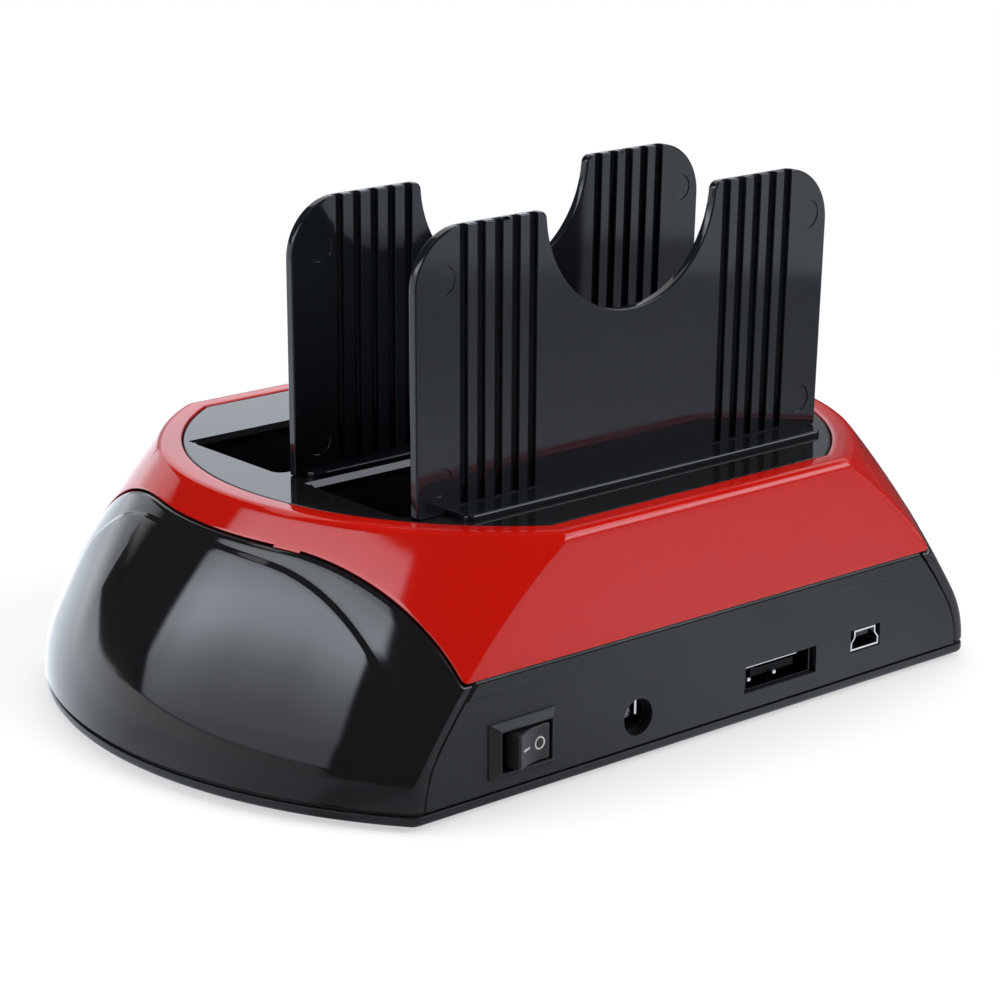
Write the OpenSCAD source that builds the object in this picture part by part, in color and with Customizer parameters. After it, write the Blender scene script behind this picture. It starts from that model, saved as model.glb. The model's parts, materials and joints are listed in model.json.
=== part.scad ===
// Docking station for two desktop hard drives.
// X runs along the port panel, Y from the port panel to the front, Z up.
// The origin lies on the ground under the middle of the body.

/* [Drive slots] */
// Length of a drive slot along X
slot_l = 103.5; // [102.5:0.5:106]
// Clear width of a drive slot along Y
slot_w = 28; // [27:0.5:30]
// Distance between the middles of the two slots
slot_pitch = 37.2; // [36.5:0.1:40]
// Corner radius of a slot in the top panel
slot_corner = 2; // [1:0.5:4]
// Lead-in chamfer on the far edge of a slot
slot_chamfer = 1; // [0.5:0.1:1.5]
// Depth of a slot from the top panel to the floor of its well
slot_depth = 34.3; // [30:0.1:35]
// Wall of a drive well
bay_wall = 1.5; // [1.2:0.1:2]

/* [Top panel] */
// Thickness of the top panel
panel_t = 2.5; // [2:0.1:3]
// Distance from a slot corner to the round edge of the panel
panel_margin = 1.85; // [1.5:0.05:4]
// Distance from the guide plates to the straight edge of the panel
panel_border = 17; // [16:0.5:22]
// How far the panel lies below the rim
panel_drop = 0.2; // [0:0.1:0.6]
// Groove between the panel and the rim
panel_gap = 0.2; // [0.1:0.05:0.4]
// Width of the ledge that carries the panel
ledge_w = 1.6; // [1.2:0.1:1.8]
// Thickness of that ledge
ledge_t = 2; // [1.5:0.1:3]

/* [Body] */
// Width of the flat rim round the top panel
rim_w = 4.4; // [3:0.2:7]
// Width of the rim along the straight edges
rim_strip = 5.65; // [5:0.05:8]
// How much wider the body is at its foot than at its rim
flare_w = 23.6; // [18:0.2:28]
// Height of the rim above the underside of the tray
body_h = 46.3; // [45:0.1:52]
// Height of the widest line
belly_h = 2.5; // [2:0.1:4]
// Radius of the lower flank
belly_r = 25; // [20:0.5:30]
// Lean of the flank where the two arcs meet, in degrees
belly_lean = 27; // [24:0.5:29]
// Wall of the shells
wall = 2.4; // [2:0.1:2.8]
// Height of the red and black seam in the middle of the ends
seam_top_h = 40.7; // [38:0.1:41]
// Height of that seam on the flat faces
seam_side_h = 23.2; // [22:0.1:26]
// Radius of the arched seam
seam_r = 52; // [48:0.5:56]
// Gap at the seam
seam_gap = 0.2; // [0.1:0.05:0.4]
// Depth of the locating lips behind the seams
lip_h = 3; // [2:0.5:4]
// Thickness of the locating lips
lip_t = 1.6; // [1.2:0.1:2]
// Clearance between a lip and the wall that it locates
lip_gap = 0.2; // [0.1:0.05:0.3]
// Thickness of the tray, which shows as a strip round the foot
tray_t = 2.3; // [2:0.1:3]
// Thickness of the flat rear and front panels
face_t = 2.3; // [1.8:0.1:2.6]
// Width of the cap edge beside the flat panels
cap_edge_w = 1.8; // [1.4:0.1:2.2]
// Gap round the flat panels
face_gap = 0.1; // [0.05:0.05:0.2]

/* [Guide plates] */
// Width of a guide plate
plate_w = 102; // [96:0.5:103]
// Thickness of a guide plate
plate_t = 2; // [1.8:0.1:2.4]
// Distance of the rear and the front plate from the edges of their slots
plate_back = [1, 2.4];
// Height of a guide plate above the top panel
plate_h = 51.7; // [46:0.1:60]
// Radius of the outer corners
ear_r = 11; // [6:0.5:13]
// Radius of the finger cut-out
cut_r = 20.8; // [17:0.1:21.2]
// Radius of the inner corners beside the cut-out
cut_edge_r = 1.6; // [1:0.1:3]
// Grooves in each of the two groups
groove_count = 5; // [3:1:6]
// Distance between grooves
groove_pitch = 4.05; // [3.6:0.05:4.4]
// Width of a groove
groove_w = 2; // [1:0.1:2.4]
// Depth of a groove
groove_depth = 0.6; // [0.3:0.05:0.7]
// Distance from the middle of the plate to the middle of a group
groove_x = 32; // [30:0.1:33]
// Diameter of the round moulding marks
mark_d = 6; // [4:0.5:7]
// Depth of the round moulding marks
mark_depth = 0.15; // [0.1:0.05:0.3]
// Distance of the upper marks from the top and the side of the plate
mark_in = [5, 9.3];
// Height of the lower marks above the top panel
mark_low = 6; // [5:0.5:10]
// Width of the foot in front of the plate
shoe_w = 98; // [94:0.5:98]
// Depth of the rear plate's foot
shoe_rear = 6.5; // [5:0.1:8]
// Depth of the front plate's foot
shoe_front = 3.2; // [3:0.1:3.4]
// Thickness of the foot
shoe_t = 1; // [0.8:0.1:1.5]
// Corner radii of the rear and the front plate's foot
shoe_corner = [4.4, 2.8];
// Thickness of the tongue below the plate
tongue_t = 1.5; // [1.3:0.1:1.6]
// Length of the tongue along X
tongue_l = 88; // [70:1:90]
// How far the tongue reaches below the top of the panel
tongue_h = 13; // [9:0.5:16]
// Clearance round the tongue
tongue_gap = 0.2; // [0.15:0.05:0.3]
// Clearance between the plate and the panel that it stands on
seat_gap = 0.05; // [0.02:0.01:0.1]

/* [Board] */
// Height of the board's underside above the underside of the tray
board_z = 4.2; // [3.6:0.1:4.6]
// Thickness of the board
board_t = 1.6; // [1.2:0.1:1.6]
// Length of the board along X
board_l = 100; // [96:1:102]
// Distance from the board's front edge to the front panel
board_front = 6; // [5.5:0.5:8]
// Distance of the board screws from the board's ends
board_screw_in = 6; // [4:0.5:8]
// Distance of the rear and front board screws from the middle along Y
board_screw_y = [33, 44];
// Length of a drive socket
socket_l = 40; // [38:0.5:44]
// Width of a drive socket
socket_w = 6; // [5.5:0.1:7]
// Height of a drive socket above the board
socket_h = 12.2; // [11:0.1:14]
// Distance of a drive socket from the middle of its slot along X and Y
socket_at = [-13.4, -6];
// Distance between the contacts of a drive socket
contact_pitch = 1.27; // [1.2:0.01:1.3]
// Width and depth of a contact slot
contact_slot = [1.6, 5];
// Width, thickness and height of a contact
contact_leaf = [0.7, 0.3, 4.2];
// Places of the two contact slots from the ends of the socket
contact_in = [7, 13];
// Contacts in the short and the long part of a drive socket
contact_counts = [7, 15];
// Place along X and Y and side of each square chip
chips = [[20, -2, 10], [20, 20, 12], [-30, 41, 7], [5, -36, 8]];
// Thickness of a chip
chip_t = 1.4; // [1:0.1:2]
// Places of the capacitors along X
capacitor_xs = [-10, -2, 6];
// Radius of a capacitor
capacitor_r = 3; // [2:0.5:3.5]
// Height of a capacitor
capacitor_h = 8; // [5:0.5:11]
// Distance of the capacitors from the board's front edge
capacitor_in = 8; // [5:0.5:10]
// Place of the crystal along X and Y
crystal_at = [34, -2];
// Width, length and height of the crystal
crystal = [4.6, 11, 3.5];

/* [Power switch] */
// Place of the switch along X
switch_x = -46; // [-48:0.5:-44]
// Height of the middle of the switch
switch_z = 9.7; // [9:0.1:11]
// Width and height of the bezel
bezel = [15.6, 10.6];
// How far the bezel stands out
bezel_t = 1.6; // [1.2:0.1:2]
// Thickness of the bezel at its outer edge
bezel_edge = 0.3; // [0.2:0.1:0.8]
// Width of the flat rim round the rocker
bezel_rim = 0.3; // [0.2:0.1:0.6]
// Width and height of the switch body
switch_body = [13, 8.8];
// Depth of the switch body behind the panel's outer face
switch_depth = 12.2; // [11:0.1:14]
// Length and height of the rocker
rocker = [8.8, 6.6];
// Distance of the rocker's ends and of its valley from the pivot
rocker_crown = [4, 2.9];
// Clearance above and below the rocker
rocker_gap = 0.4; // [0.2:0.05:0.5]
// Clearance at the ends of the rocker
rocker_end = 1.3; // [1.2:0.05:1.4]
// Tilt of the rocker either side of its middle, in degrees
rocker_tilt = 13; // [10:0.5:14]
// Radius of the rocker's pivot
pivot_r = 1.2; // [1:0.05:1.4]
// Running clearance of the pivot
pivot_gap = 0.05; // [0.03:0.01:0.08]
// Depth of the pivot behind the bezel's face
pivot_in = 2.8; // [2.6:0.1:3.2]

/* [Ports] */
// Place of the power inlet along X
jack_x = -18.2; // [-20:0.1:-16]
// Height of the middle of the power inlet
jack_z = 7.8; // [7.4:0.1:9]
// Diameter of the hole in the panel
jack_hole = 7; // [6.8:0.1:7.6]
// Bore of the power inlet
jack_bore = 6.4; // [6:0.1:6.6]
// Width, depth and height of the inlet's body
jack_body = [9, 13, 9];
// Depth of the inlet's bore
jack_deep = 9.5; // [9:0.1:10.5]
// Diameter of the centre pin
jack_pin_d = 2.1; // [2:0.1:2.5]
// Distance between the external drive port and the small port
port_pitch = 23.2; // [21:0.1:24]
// Width and height of the external drive port's shell
esata = [17.4, 5];
// Margin of the opening round that shell
esata_margin = [0.9, 0.15];
// Distance of the small port from the board's end
usb_in = 8.5; // [6:0.1:10]
// Width and height of the small port's shell
usb = [7.7, 4];
// Width of the small port's shell at its narrow side
usb_narrow_w = 5.9; // [5.4:0.1:6.4]
// Height of the small port's plinth above the board
usb_lift = 1.6; // [1:0.1:2]
// Distance of the small port's mouth behind the panel's outer face
usb_set = 0.2; // [0.1:0.1:0.6]
// Margin of the opening round the small port
usb_margin = 0.25; // [0.15:0.05:0.4]
// Wall of the metal port shells
port_wall = 0.35; // [0.3:0.05:0.5]
// Depth of the port shells
port_deep = 10.5; // [9:0.5:12]
// How far the external drive port lies behind the panel's face
port_in = 0.9; // [0.5:0.1:1.2]

/* [Front controls] */
// Place of the push button along X
button_x = 24; // [20:0.5:30]
// Height of the button and of the lamps
button_z = 10.5; // [10:0.1:12]
// Diameter of the button
button_d = 9; // [7:0.5:9]
// How far the button stands out
button_out = 2.2; // [1:0.1:2.5]
// Clearance of the button in its hole
button_gap = 0.2; // [0.15:0.05:0.3]
// Travel of the button
button_travel = 0.8; // [0.4:0.1:1]
// Diameter of a lamp's light pipe
lamp_d = 3; // [2.5:0.1:4]
// Places of the lamps along X
lamp_xs = [-32, -24];

/* [Fasteners and feet] */
// Radius of a self-tapping screw's shank
screw_r = 1.2; // [1:0.05:1.3]
// Radius of a screw head
head_r = 2.6; // [2.3:0.1:2.8]
// Height of a screw head
head_h = 1.6; // [1.4:0.1:1.8]
// Radial clearance of a screw in its pilot hole
pilot_gap = 0.05; // [0.03:0.01:0.1]
// Radius of a screw boss
boss_r = 2.8; // [2.6:0.1:3]
// Radius of the long posts for the case screws
post_r = 3.4; // [3:0.1:3.6]
// Direction of those posts from the middle of the body, in degrees
post_angle = 15; // [13:0.5:18]
// Height of the joint between the tray bosses and those posts
post_z = 7; // [6:0.5:9]
// Diameter of a rubber foot
foot_d = 12; // [9:0.5:14]
// How far a foot stands out below the tray
foot_out = 1; // [0.6:0.1:2]
// How deep a foot is let into the tray
foot_in = 1; // [0.6:0.1:1.2]
// Direction of the feet from the middle of the body, in degrees
foot_angle = 28; // [24:1:32]

/* [Hidden] */

$fn = 64;
body_fn = 180;
// Larger than any part of the object
far = 300;
// Overshoot of a cut past the face that it opens
cut = 1;

// Plan of the body
slots_half = slot_pitch / 2 + slot_w / 2;
panel_r = norm([slot_l / 2, slots_half]) + panel_margin;
panel_half = slots_half + plate_back[0] + plate_t + panel_border;
rim_r = panel_r + rim_w;
body_r = rim_r + flare_w;
half_d = panel_half + rim_strip;
face_in = half_d - face_t;

// Heights above the underside of the tray
panel_top = body_h - panel_drop;
panel_low = panel_top - panel_t;
roof_z = panel_low - ledge_t;
well_z = panel_top - slot_depth;
board_top = board_z + board_t;
esata_z = board_top + esata[1] / 2;
usb_z = board_top + usb_lift;
plate_z = panel_top + seat_gap;

// Flank of the body: two arcs that meet with the same lean
belly_x = body_r - belly_r;
knee = [belly_x + belly_r * cos(belly_lean), belly_h + belly_r * sin(belly_lean)];
chord = [knee[0] - rim_r, body_h - knee[1]];
bend = atan2(chord[0], chord[1]) - belly_lean;
flank_r = norm(chord) / (2 * sin(bend));
flank_c = knee - flank_r * [cos(belly_lean), sin(belly_lean)];
lower_steps = 8;
upper_steps = 12;

// Arched seam
seam_fall = seam_top_h - seam_side_h;
seam_flat = half_d - sqrt(pow(seam_r, 2) - pow(seam_r - seam_fall, 2));

// Middle lines of the slots and front faces of the guide plates
slot_ys = [-slot_pitch / 2, slot_pitch / 2];
function plate_y(i) = slot_ys[i] - slot_w / 2 - plate_back[i] - plate_t;
function near_wall(i) = plate_back[i] + plate_t - tongue_t - tongue_gap;
pocket_wall = 1.2;
pocket_y = tongue_gap + pocket_wall;
pocket_h = tongue_h - panel_t + 0.5;

// Screw places
bay_boss_h = 5;
ear_t = 2;
ear_gap = 0.25;
ear_end_x = slot_l / 2 + bay_wall + boss_r + ear_gap;
ear_end_y = 9;
ear_side_x = 25;
ear_side = boss_r + 3;
post_c = panel_r - 0.9;
post_at = post_c * [cos(post_angle), sin(post_angle)];
foot_c = rim_r - 2;
hole_gap = 0.4;
head_sink = 0.6;
case_screw_up = 9;

// Board screws and ports follow the board's end
board_screw_x = board_l / 2 - board_screw_in;
usb_x = board_l / 2 - usb_in;
esata_x = usb_x - port_pitch;

// Ribs on the tray that stand behind the flat panels
rib_end_x = board_l / 2 + 12;
rib_xs = [-rib_end_x, (switch_x + jack_x) / 2, (esata_x + usb_x) / 2, rib_end_x];

// Board outline
rib_t = 2;
rib_w = 4;
rib_gap = 0.1;
rib_ys = face_in - rib_gap - rib_t;
board_y0 = -(rib_ys - 0.25);
board_y1 = face_in - board_front;

// Front controls
flange_t = 1;
stem_d = 3.6;
tact = [7, 3.6, 7];
tact_y = board_y1 - tact[1] - 0.4;
plunger = 1.4;
lamp_gap = 0.1;

// Places of the four fastener posts and of the four feet
function corners(p) = [for (x = [-1, 1], y = [-1, 1]) [x * p[0], y * p[1]]];

// Screws of one drive bay, with y measured from its slot's middle line
function bay_screw_at(i) =
    let (s = i == 0 ? -1 : 1)
    let (side = i == 0
        ? -slot_w / 2 - plate_back[i] - plate_t - pocket_y - ear_side
        : slot_w / 2 + bay_wall + ear_side)
    [for (x = [-1, 1]) [x * ear_end_x, s * ear_end_y],
     for (x = [-1, 1]) [x * ear_side_x, slot_ys[i] + side]];

function arc(c, r, a0, a1, n) =
    [for (i = [0:n]) c + r * [cos(a0 + (a1 - a0) * i / n), sin(a0 + (a1 - a0) * i / n)]];

// Profile of the flank, moved inwards by inset
function flank(inset) =
    let (low = -asin((belly_h + cut) / (belly_r - inset)))
    concat(
        arc([belly_x, belly_h], belly_r - inset, low, belly_lean, lower_steps),
        [for (p = arc(flank_c, flank_r - inset, belly_lean, belly_lean + 2 * bend, upper_steps))
            if (p[1] > belly_h + (belly_r - inset) * sin(belly_lean) + 0.01) p]);

// Everything stands on the feet
module on_feet() translate([0, 0, foot_out]) children();

module box(p, q) translate(p) cube(q - p);

module rod(p, r, h) translate(p) cylinder(r = r, h = h);

// Cylinder along +Y
module rod_y(p, r, h) translate(p) rotate([-90, 0, 0]) cylinder(r = r, h = h);

module round_rect(l, w, r) {
    square([l - 2 * r, w], center = true);
    square([l, w - 2 * r], center = true);
    for (p = corners([l / 2 - r, w / 2 - r])) translate(p) circle(r = r);
}

// Turned solid of the body's flank
module turned(inset) {
    side = flank(inset);
    rotate_extrude($fn = body_fn)
        polygon(concat([[0, side[0][1]]], side, [[0, side[len(side) - 1][1]]]));
}

module layer(half_y, z0, z1) box([-far, -half_y, z0], [far, half_y, z1]);

// Turned body cut flat at the rear and the front
module body_solid(inset, z0, z1) intersection() {
    turned(inset);
    layer(half_d - inset, z0, z1);
}

// Space below the arched seam, moved up by lift
module under_seam(lift) rotate([90, 0, 90]) linear_extrude(2 * far, center = true) {
    for (s = [-1, 1]) translate([s * seam_flat, seam_top_h - seam_r]) circle(r = seam_r + lift, $fn = body_fn);
    translate([-seam_flat, -far]) square([2 * seam_flat, far + seam_top_h + lift]);
}

// Outline of the top panel, grown by extra
module panel_outline(extra) intersection() {
    circle(r = panel_r + extra, $fn = body_fn);
    square([far, 2 * (panel_half + extra)], center = true);
}

// Pan head screw that points up, with the underside of its head at the origin
module screw(reach) {
    cylinder(r = screw_r, h = reach);
    translate([0, 0, -head_h]) cylinder(r = head_r, h = head_h);
}

module base_tray() color([0.1, 0.1, 0.11]) on_feet() difference() {
    union() {
        body_solid(0, 0, tray_t);
        intersection() {
            difference() {
                body_solid(wall + lip_gap, cut, tray_t + lip_h);
                body_solid(wall + lip_gap + lip_t, 0, far);
            }
            layer(face_in - rib_t - rib_gap - lip_t, 0, far);
        }
        for (p = corners(post_at)) rod([p[0], p[1], cut], post_r + 0.8, post_z - cut);
        for (x = [-1, 1], y = [-board_screw_y[0], board_screw_y[1]])
            rod([x * board_screw_x, y, cut], boss_r, board_z - cut);
        for (s = [-1, 1], x = rib_xs)
            box([x - rib_w / 2, s > 0 ? rib_ys : -rib_ys - rib_t, cut],
                [x + rib_w / 2, s > 0 ? rib_ys + rib_t : -rib_ys, tray_t + lip_h]);
    }
    for (p = corners(post_at)) {
        rod([p[0], p[1], -cut], head_r + hole_gap, cut + head_sink + head_h);
        rod([p[0], p[1], 0], screw_r + hole_gap, far);
    }
    for (x = [-1, 1], y = [-board_screw_y[0], board_screw_y[1]])
        rod([x * board_screw_x, y, cut], screw_r + pilot_gap, far);
    for (p = corners(foot_c * [cos(foot_angle), sin(foot_angle)]))
        rod([p[0], p[1], -cut], foot_d / 2 + 0.1, cut + foot_in);
}

// Rounded end below the seam, side -1 left and 1 right
module end_cap(side) on_feet() intersection() {
    difference() {
        body_solid(0, tray_t + face_gap, body_h);
        body_solid(wall, 0, body_h);
        intersection() {
            turned(cap_edge_w);
            difference() {
                layer(far, -cut, body_h);
                layer(face_in - face_gap, -far, far);
            }
        }
    }
    under_seam(0);
    box([side > 0 ? 0 : -far, -far, 0], [side > 0 ? far : 0, far, far]);
}

module left_end_cap() color([0.06, 0.06, 0.07]) end_cap(-1);

module right_end_cap() color([0.06, 0.06, 0.07]) end_cap(1);

module upper_shell() color([0.72, 0.04, 0.02]) on_feet() difference() {
    union() {
        difference() {
            body_solid(0, 0, body_h);
            body_solid(wall + lip_gap + lip_t, -cut, roof_z);
            under_seam(-lip_h);
            difference() {
                under_seam(seam_gap);
                body_solid(wall + lip_gap, -cut, body_h);
            }
            translate([0, 0, panel_low]) linear_extrude(far) panel_outline(panel_gap);
            linear_extrude(far) panel_outline(-ledge_w);
        }
        for (p = corners(post_at)) rod([p[0], p[1], post_z], post_r, roof_z + ledge_t / 2 - post_z);
    }
    for (p = corners(post_at)) rod([p[0], p[1], 0], screw_r + pilot_gap, post_z + case_screw_up + cut);
}

module top_panel() color([0.05, 0.05, 0.06]) on_feet() {
    hook_x = 20;
    hook_l = 6;
    hook_y = panel_half - ledge_w - panel_gap;
    difference() {
        union() {
            translate([0, 0, panel_low]) linear_extrude(panel_t) panel_outline(0);
            for (i = [0, 1], p = bay_screw_at(i)) rod([p[0], p[1], panel_low - bay_boss_h], boss_r, bay_boss_h + cut);
        }
        for (i = [0, 1]) {
            translate([0, slot_ys[i], 0]) linear_extrude(far) round_rect(slot_l, slot_w, slot_corner);
            translate([0, slot_ys[i] + slot_w / 2, panel_top]) rotate([90, 0, 90])
                linear_extrude(slot_l - 2 * slot_corner, center = true)
                    polygon([[-cut, cut], [-cut, -slot_chamfer], [0, -slot_chamfer], [slot_chamfer + cut, cut]]);
            box([-tongue_l / 2 - tongue_gap, plate_y(i) - tongue_gap, 0],
                [tongue_l / 2 + tongue_gap, plate_y(i) + tongue_t + tongue_gap, far]);
            for (p = bay_screw_at(i))
                rod([p[0], p[1], 0], screw_r + pilot_gap, panel_low + panel_t / 2);
        }
    }
    for (s = [-1, 1], x = [-hook_x, hook_x]) scale([1, s, 1]) {
        box([x - hook_l / 2, hook_y - 1.5, roof_z - 1.4], [x + hook_l / 2, hook_y, panel_low]);
        box([x - hook_l / 2, hook_y - 1.5, roof_z - 1.4], [x + hook_l / 2, hook_y + 1.2, roof_z - 0.2]);
    }
}

// Flat panel on the rear face, without its openings
module face_blank() intersection() {
    turned(cap_edge_w + face_gap);
    under_seam(0);
    box([-far, -half_d, tray_t + face_gap], [far, -face_in, far]);
}

module usb_outline(extra) {
    w = usb[0] / 2 + extra;
    n = usb_narrow_w / 2 + extra;
    knee_z = usb[1] * 0.38;
    polygon([[-w, -extra], [w, -extra], [w, knee_z], [n, usb[1] * 0.65], [n, usb[1] + extra],
        [-n, usb[1] + extra], [-n, usb[1] * 0.65], [-w, knee_z]]);
}

module rear_panel() color([0.14, 0.14, 0.15]) on_feet() difference() {
    face_blank();
    translate([switch_x, -half_d, switch_z])
        cube([switch_body[0] + 2 * face_gap, 3 * face_t, switch_body[1] + 2 * face_gap], center = true);
    rod_y([jack_x, -half_d - cut, jack_z], jack_hole / 2, face_t + 2 * cut);
    translate([esata_x, -half_d, esata_z])
        cube([esata[0] + 2 * esata_margin[0], 3 * face_t, esata[1] + 2 * esata_margin[1]], center = true);
    box([usb_x - usb[0] / 2 - usb_margin, -half_d - cut, usb_z - usb_margin],
        [usb_x + usb[0] / 2 + usb_margin, -face_in + cut, usb_z + usb[1] + usb_margin]);
}

module front_panel() color([0.14, 0.14, 0.15]) on_feet() difference() {
    rotate([0, 0, 180]) face_blank();
    rod_y([button_x, face_in - cut, button_z], button_d / 2 + button_gap, face_t + 2 * cut);
    for (x = lamp_xs) rod_y([x, face_in - cut, button_z], lamp_d / 2 + lamp_gap, face_t + 2 * cut);
}

// Well under slot i, with the pocket for its guide plate and four screw ears
module drive_bay(i) on_feet() {
    end_x = slot_l / 2 + bay_wall;
    near_y = slot_ys[i] - slot_w / 2;
    far_y = slot_ys[i] + slot_w / 2;
    ear_z = panel_low - bay_boss_h - ear_t;
    pocket_end = tongue_l / 2 + tongue_gap;
    socket_y = slot_ys[i] + socket_at[1];
    difference() {
        union() {
            box([-end_x, near_y - near_wall(i), well_z - bay_wall], [end_x, far_y + bay_wall, panel_low]);
            box([-pocket_end - pocket_wall, plate_y(i) - pocket_y, panel_low - pocket_h - pocket_wall],
                [pocket_end + pocket_wall, near_y - near_wall(i) / 2, panel_low]);
            for (p = bay_screw_at(i)) {
                rod([p[0], p[1], ear_z], boss_r, ear_t);
                if (abs(p[0]) > end_x)
                    box([p[0] > 0 ? end_x - cut : p[0], p[1] - boss_r, ear_z],
                        [p[0] > 0 ? p[0] : cut - end_x, p[1] + boss_r, ear_z + ear_t]);
                else
                    box([p[0] - boss_r, i == 0 ? p[1] : far_y + bay_wall / 2, ear_z],
                        [p[0] + boss_r, i == 0 ? plate_y(i) - tongue_gap - pocket_wall / 2 : p[1], ear_z + ear_t]);
            }
        }
        box([-slot_l / 2, near_y, well_z], [slot_l / 2, far_y, far]);
        box([-pocket_end, plate_y(i) - tongue_gap, panel_low - pocket_h],
            [pocket_end, near_y - near_wall(i), far]);
        translate([socket_at[0], socket_y, well_z])
            cube([socket_l + 2 * socket_gap, socket_w + 2 * socket_gap, 4 * bay_wall], center = true);
        for (p = bay_screw_at(i)) rod([p[0], p[1], ear_z - cut], screw_r + hole_gap, ear_t + 2 * cut);
        translate([0, 0, roof_z - panel_gap]) linear_extrude(far) difference() {
            square(2 * far, center = true);
            panel_outline(-ledge_w - panel_gap);
        }
    }
}

module rear_drive_bay() color([0.08, 0.08, 0.09]) drive_bay(0);

module front_drive_bay() color([0.08, 0.08, 0.09]) drive_bay(1);

// Outline of a guide plate in its own X and Z, standing on zero
module plate_outline() {
    edge_x = sqrt(pow(cut_r + cut_edge_r, 2) - pow(cut_edge_r, 2));
    edge_z = plate_h - cut_r * cut_edge_r / (cut_r + cut_edge_r);
    difference() {
        union() {
            translate([-plate_w / 2, 0]) square([plate_w, plate_h - ear_r]);
            translate([ear_r - plate_w / 2, 0]) square([plate_w - 2 * ear_r, plate_h]);
            for (s = [-1, 1]) translate([s * (plate_w / 2 - ear_r), plate_h - ear_r]) circle(r = ear_r);
        }
        translate([0, plate_h]) circle(r = cut_r);
        translate([-edge_x, edge_z]) square([2 * edge_x, plate_h]);
    }
    for (s = [-1, 1]) translate([s * edge_x, plate_h - cut_edge_r]) circle(r = cut_edge_r);
}

// Guide plate of slot i with its foot and tongue
module guide_plate(i, shoe) on_feet() translate([0, plate_y(i), plate_z]) {
    groups = [for (s = [-1, 1], k = [0:groove_count - 1])
        s * groove_x + (k - (groove_count - 1) / 2) * groove_pitch];
    marks = [for (s = [-1, 1], z = [mark_low, plate_h - mark_in[1]]) [s * (plate_w / 2 - mark_in[0]), z]];
    difference() {
        translate([0, plate_t, 0]) rotate([90, 0, 0]) linear_extrude(plate_t) plate_outline();
        for (x = groups, y = [0, plate_t])
            translate([x, y, plate_h / 2 + shoe_t]) cube([groove_w, 2 * groove_depth, plate_h], center = true);
        for (m = marks) rod_y([m[0], -cut, m[1]], mark_d / 2, cut + mark_depth);
    }
    corner = shoe_corner[i];
    difference() {
        linear_extrude(shoe_t) {
            translate([-shoe_w / 2, corner - shoe]) square([shoe_w, shoe - corner]);
            translate([corner - shoe_w / 2, -shoe]) square([shoe_w - 2 * corner, shoe]);
            for (s = [-1, 1]) translate([s * (shoe_w / 2 - corner), corner - shoe]) circle(r = corner);
        }
        box([-far, 0, -far], [far, far, far]);
    }
    box([-tongue_l / 2, 0, seat_gap - tongue_h], [tongue_l / 2, tongue_t, shoe_t]);
}

module rear_guide_plate() color([0.07, 0.07, 0.08]) guide_plate(0, shoe_rear);

module front_guide_plate() color([0.07, 0.07, 0.08]) guide_plate(1, shoe_front);

// Clearance of a drive socket in the floor of its well
socket_gap = 0.3;
notch_gap = 0.8;

module main_board() color([0.05, 0.3, 0.15]) on_feet() difference() {
    box([-board_l / 2, board_y0, board_z], [board_l / 2, board_y1, board_top]);
    box([-far, -far, 0], [switch_x + bezel[0] / 2 + notch_gap, -half_d + switch_depth + blade_l + notch_gap, far]);
    box([jack_x - jack_body[0] / 2 - notch_gap, -far, 0],
        [jack_x + jack_body[0] / 2 + notch_gap, -face_in + jack_body[1] + notch_gap, far]);
    for (x = [-1, 1], y = [-board_screw_y[0], board_screw_y[1]])
        rod([x * board_screw_x, y, 0], screw_r + hole_gap, far);
}

// Contact slots of a drive socket: place along X and number of contacts
contact_rows = [
    [-socket_l / 2 + contact_in[0], contact_counts[0]],
    [socket_l / 2 - contact_in[1], contact_counts[1]]];
function row_l(r) = (r[1] - 1) * contact_pitch + 3 * contact_leaf[0];

module sata_socket(i) on_feet() translate([socket_at[0], slot_ys[i] + socket_at[1], board_top]) difference() {
    box([-socket_l / 2, -socket_w / 2, 0], [socket_l / 2, socket_w / 2, socket_h]);
    for (r = contact_rows)
        translate([r[0], 0, socket_h]) cube([row_l(r), contact_slot[0], 2 * contact_slot[1]], center = true);
}

module rear_sata_socket() color([0.1, 0.1, 0.1]) sata_socket(0);

module front_sata_socket() color([0.1, 0.1, 0.1]) sata_socket(1);

module sata_contacts() color([0.85, 0.65, 0.25]) on_feet() {
    for (i = [0, 1], r = contact_rows, k = [0:r[1] - 1])
        translate([socket_at[0] + r[0] + (k - (r[1] - 1) / 2) * contact_pitch - contact_leaf[0] / 2,
            slot_ys[i] + socket_at[1] - contact_slot[0] / 2, board_top + socket_h - contact_slot[1]])
            cube(contact_leaf);
}

module bridge_chips() color([0.12, 0.12, 0.13]) on_feet() {
    for (c = chips)
        translate([c[0] - c[2] / 2, c[1] - c[2] / 2, board_top]) cube([c[2], c[2], chip_t]);
}

module capacitors() color([0.2, 0.25, 0.4]) on_feet() {
    for (x = capacitor_xs) rod([x, board_y1 - capacitor_in, board_top], capacitor_r, capacitor_h);
}

module quartz_crystal() color([0.75, 0.75, 0.77]) on_feet()
    translate([crystal_at[0], crystal_at[1], board_top]) linear_extrude(crystal[2])
        round_rect(crystal[0], crystal[1], crystal[0] * 0.48);

// Rear switch: frame with bezel, cavity and pivot holes
blade_l = 7;
pivot_y = -half_d - bezel_t + pivot_in;
cavity = [rocker[0] + 2 * rocker_end, rocker[1] + 2 * rocker_gap];
pivot_l = rocker[1] + 2 * rocker_gap + 0.8;

// Outline of the bezel in depth and half width, sloping from its outer edge to the rim of the opening
function bezel_side(size, opening) = [
    [0, -size / 2], [bezel_edge, -size / 2], [bezel_t, -opening / 2 - bezel_rim],
    [bezel_t, opening / 2 + bezel_rim], [bezel_edge, size / 2], [0, size / 2]
];

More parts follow.
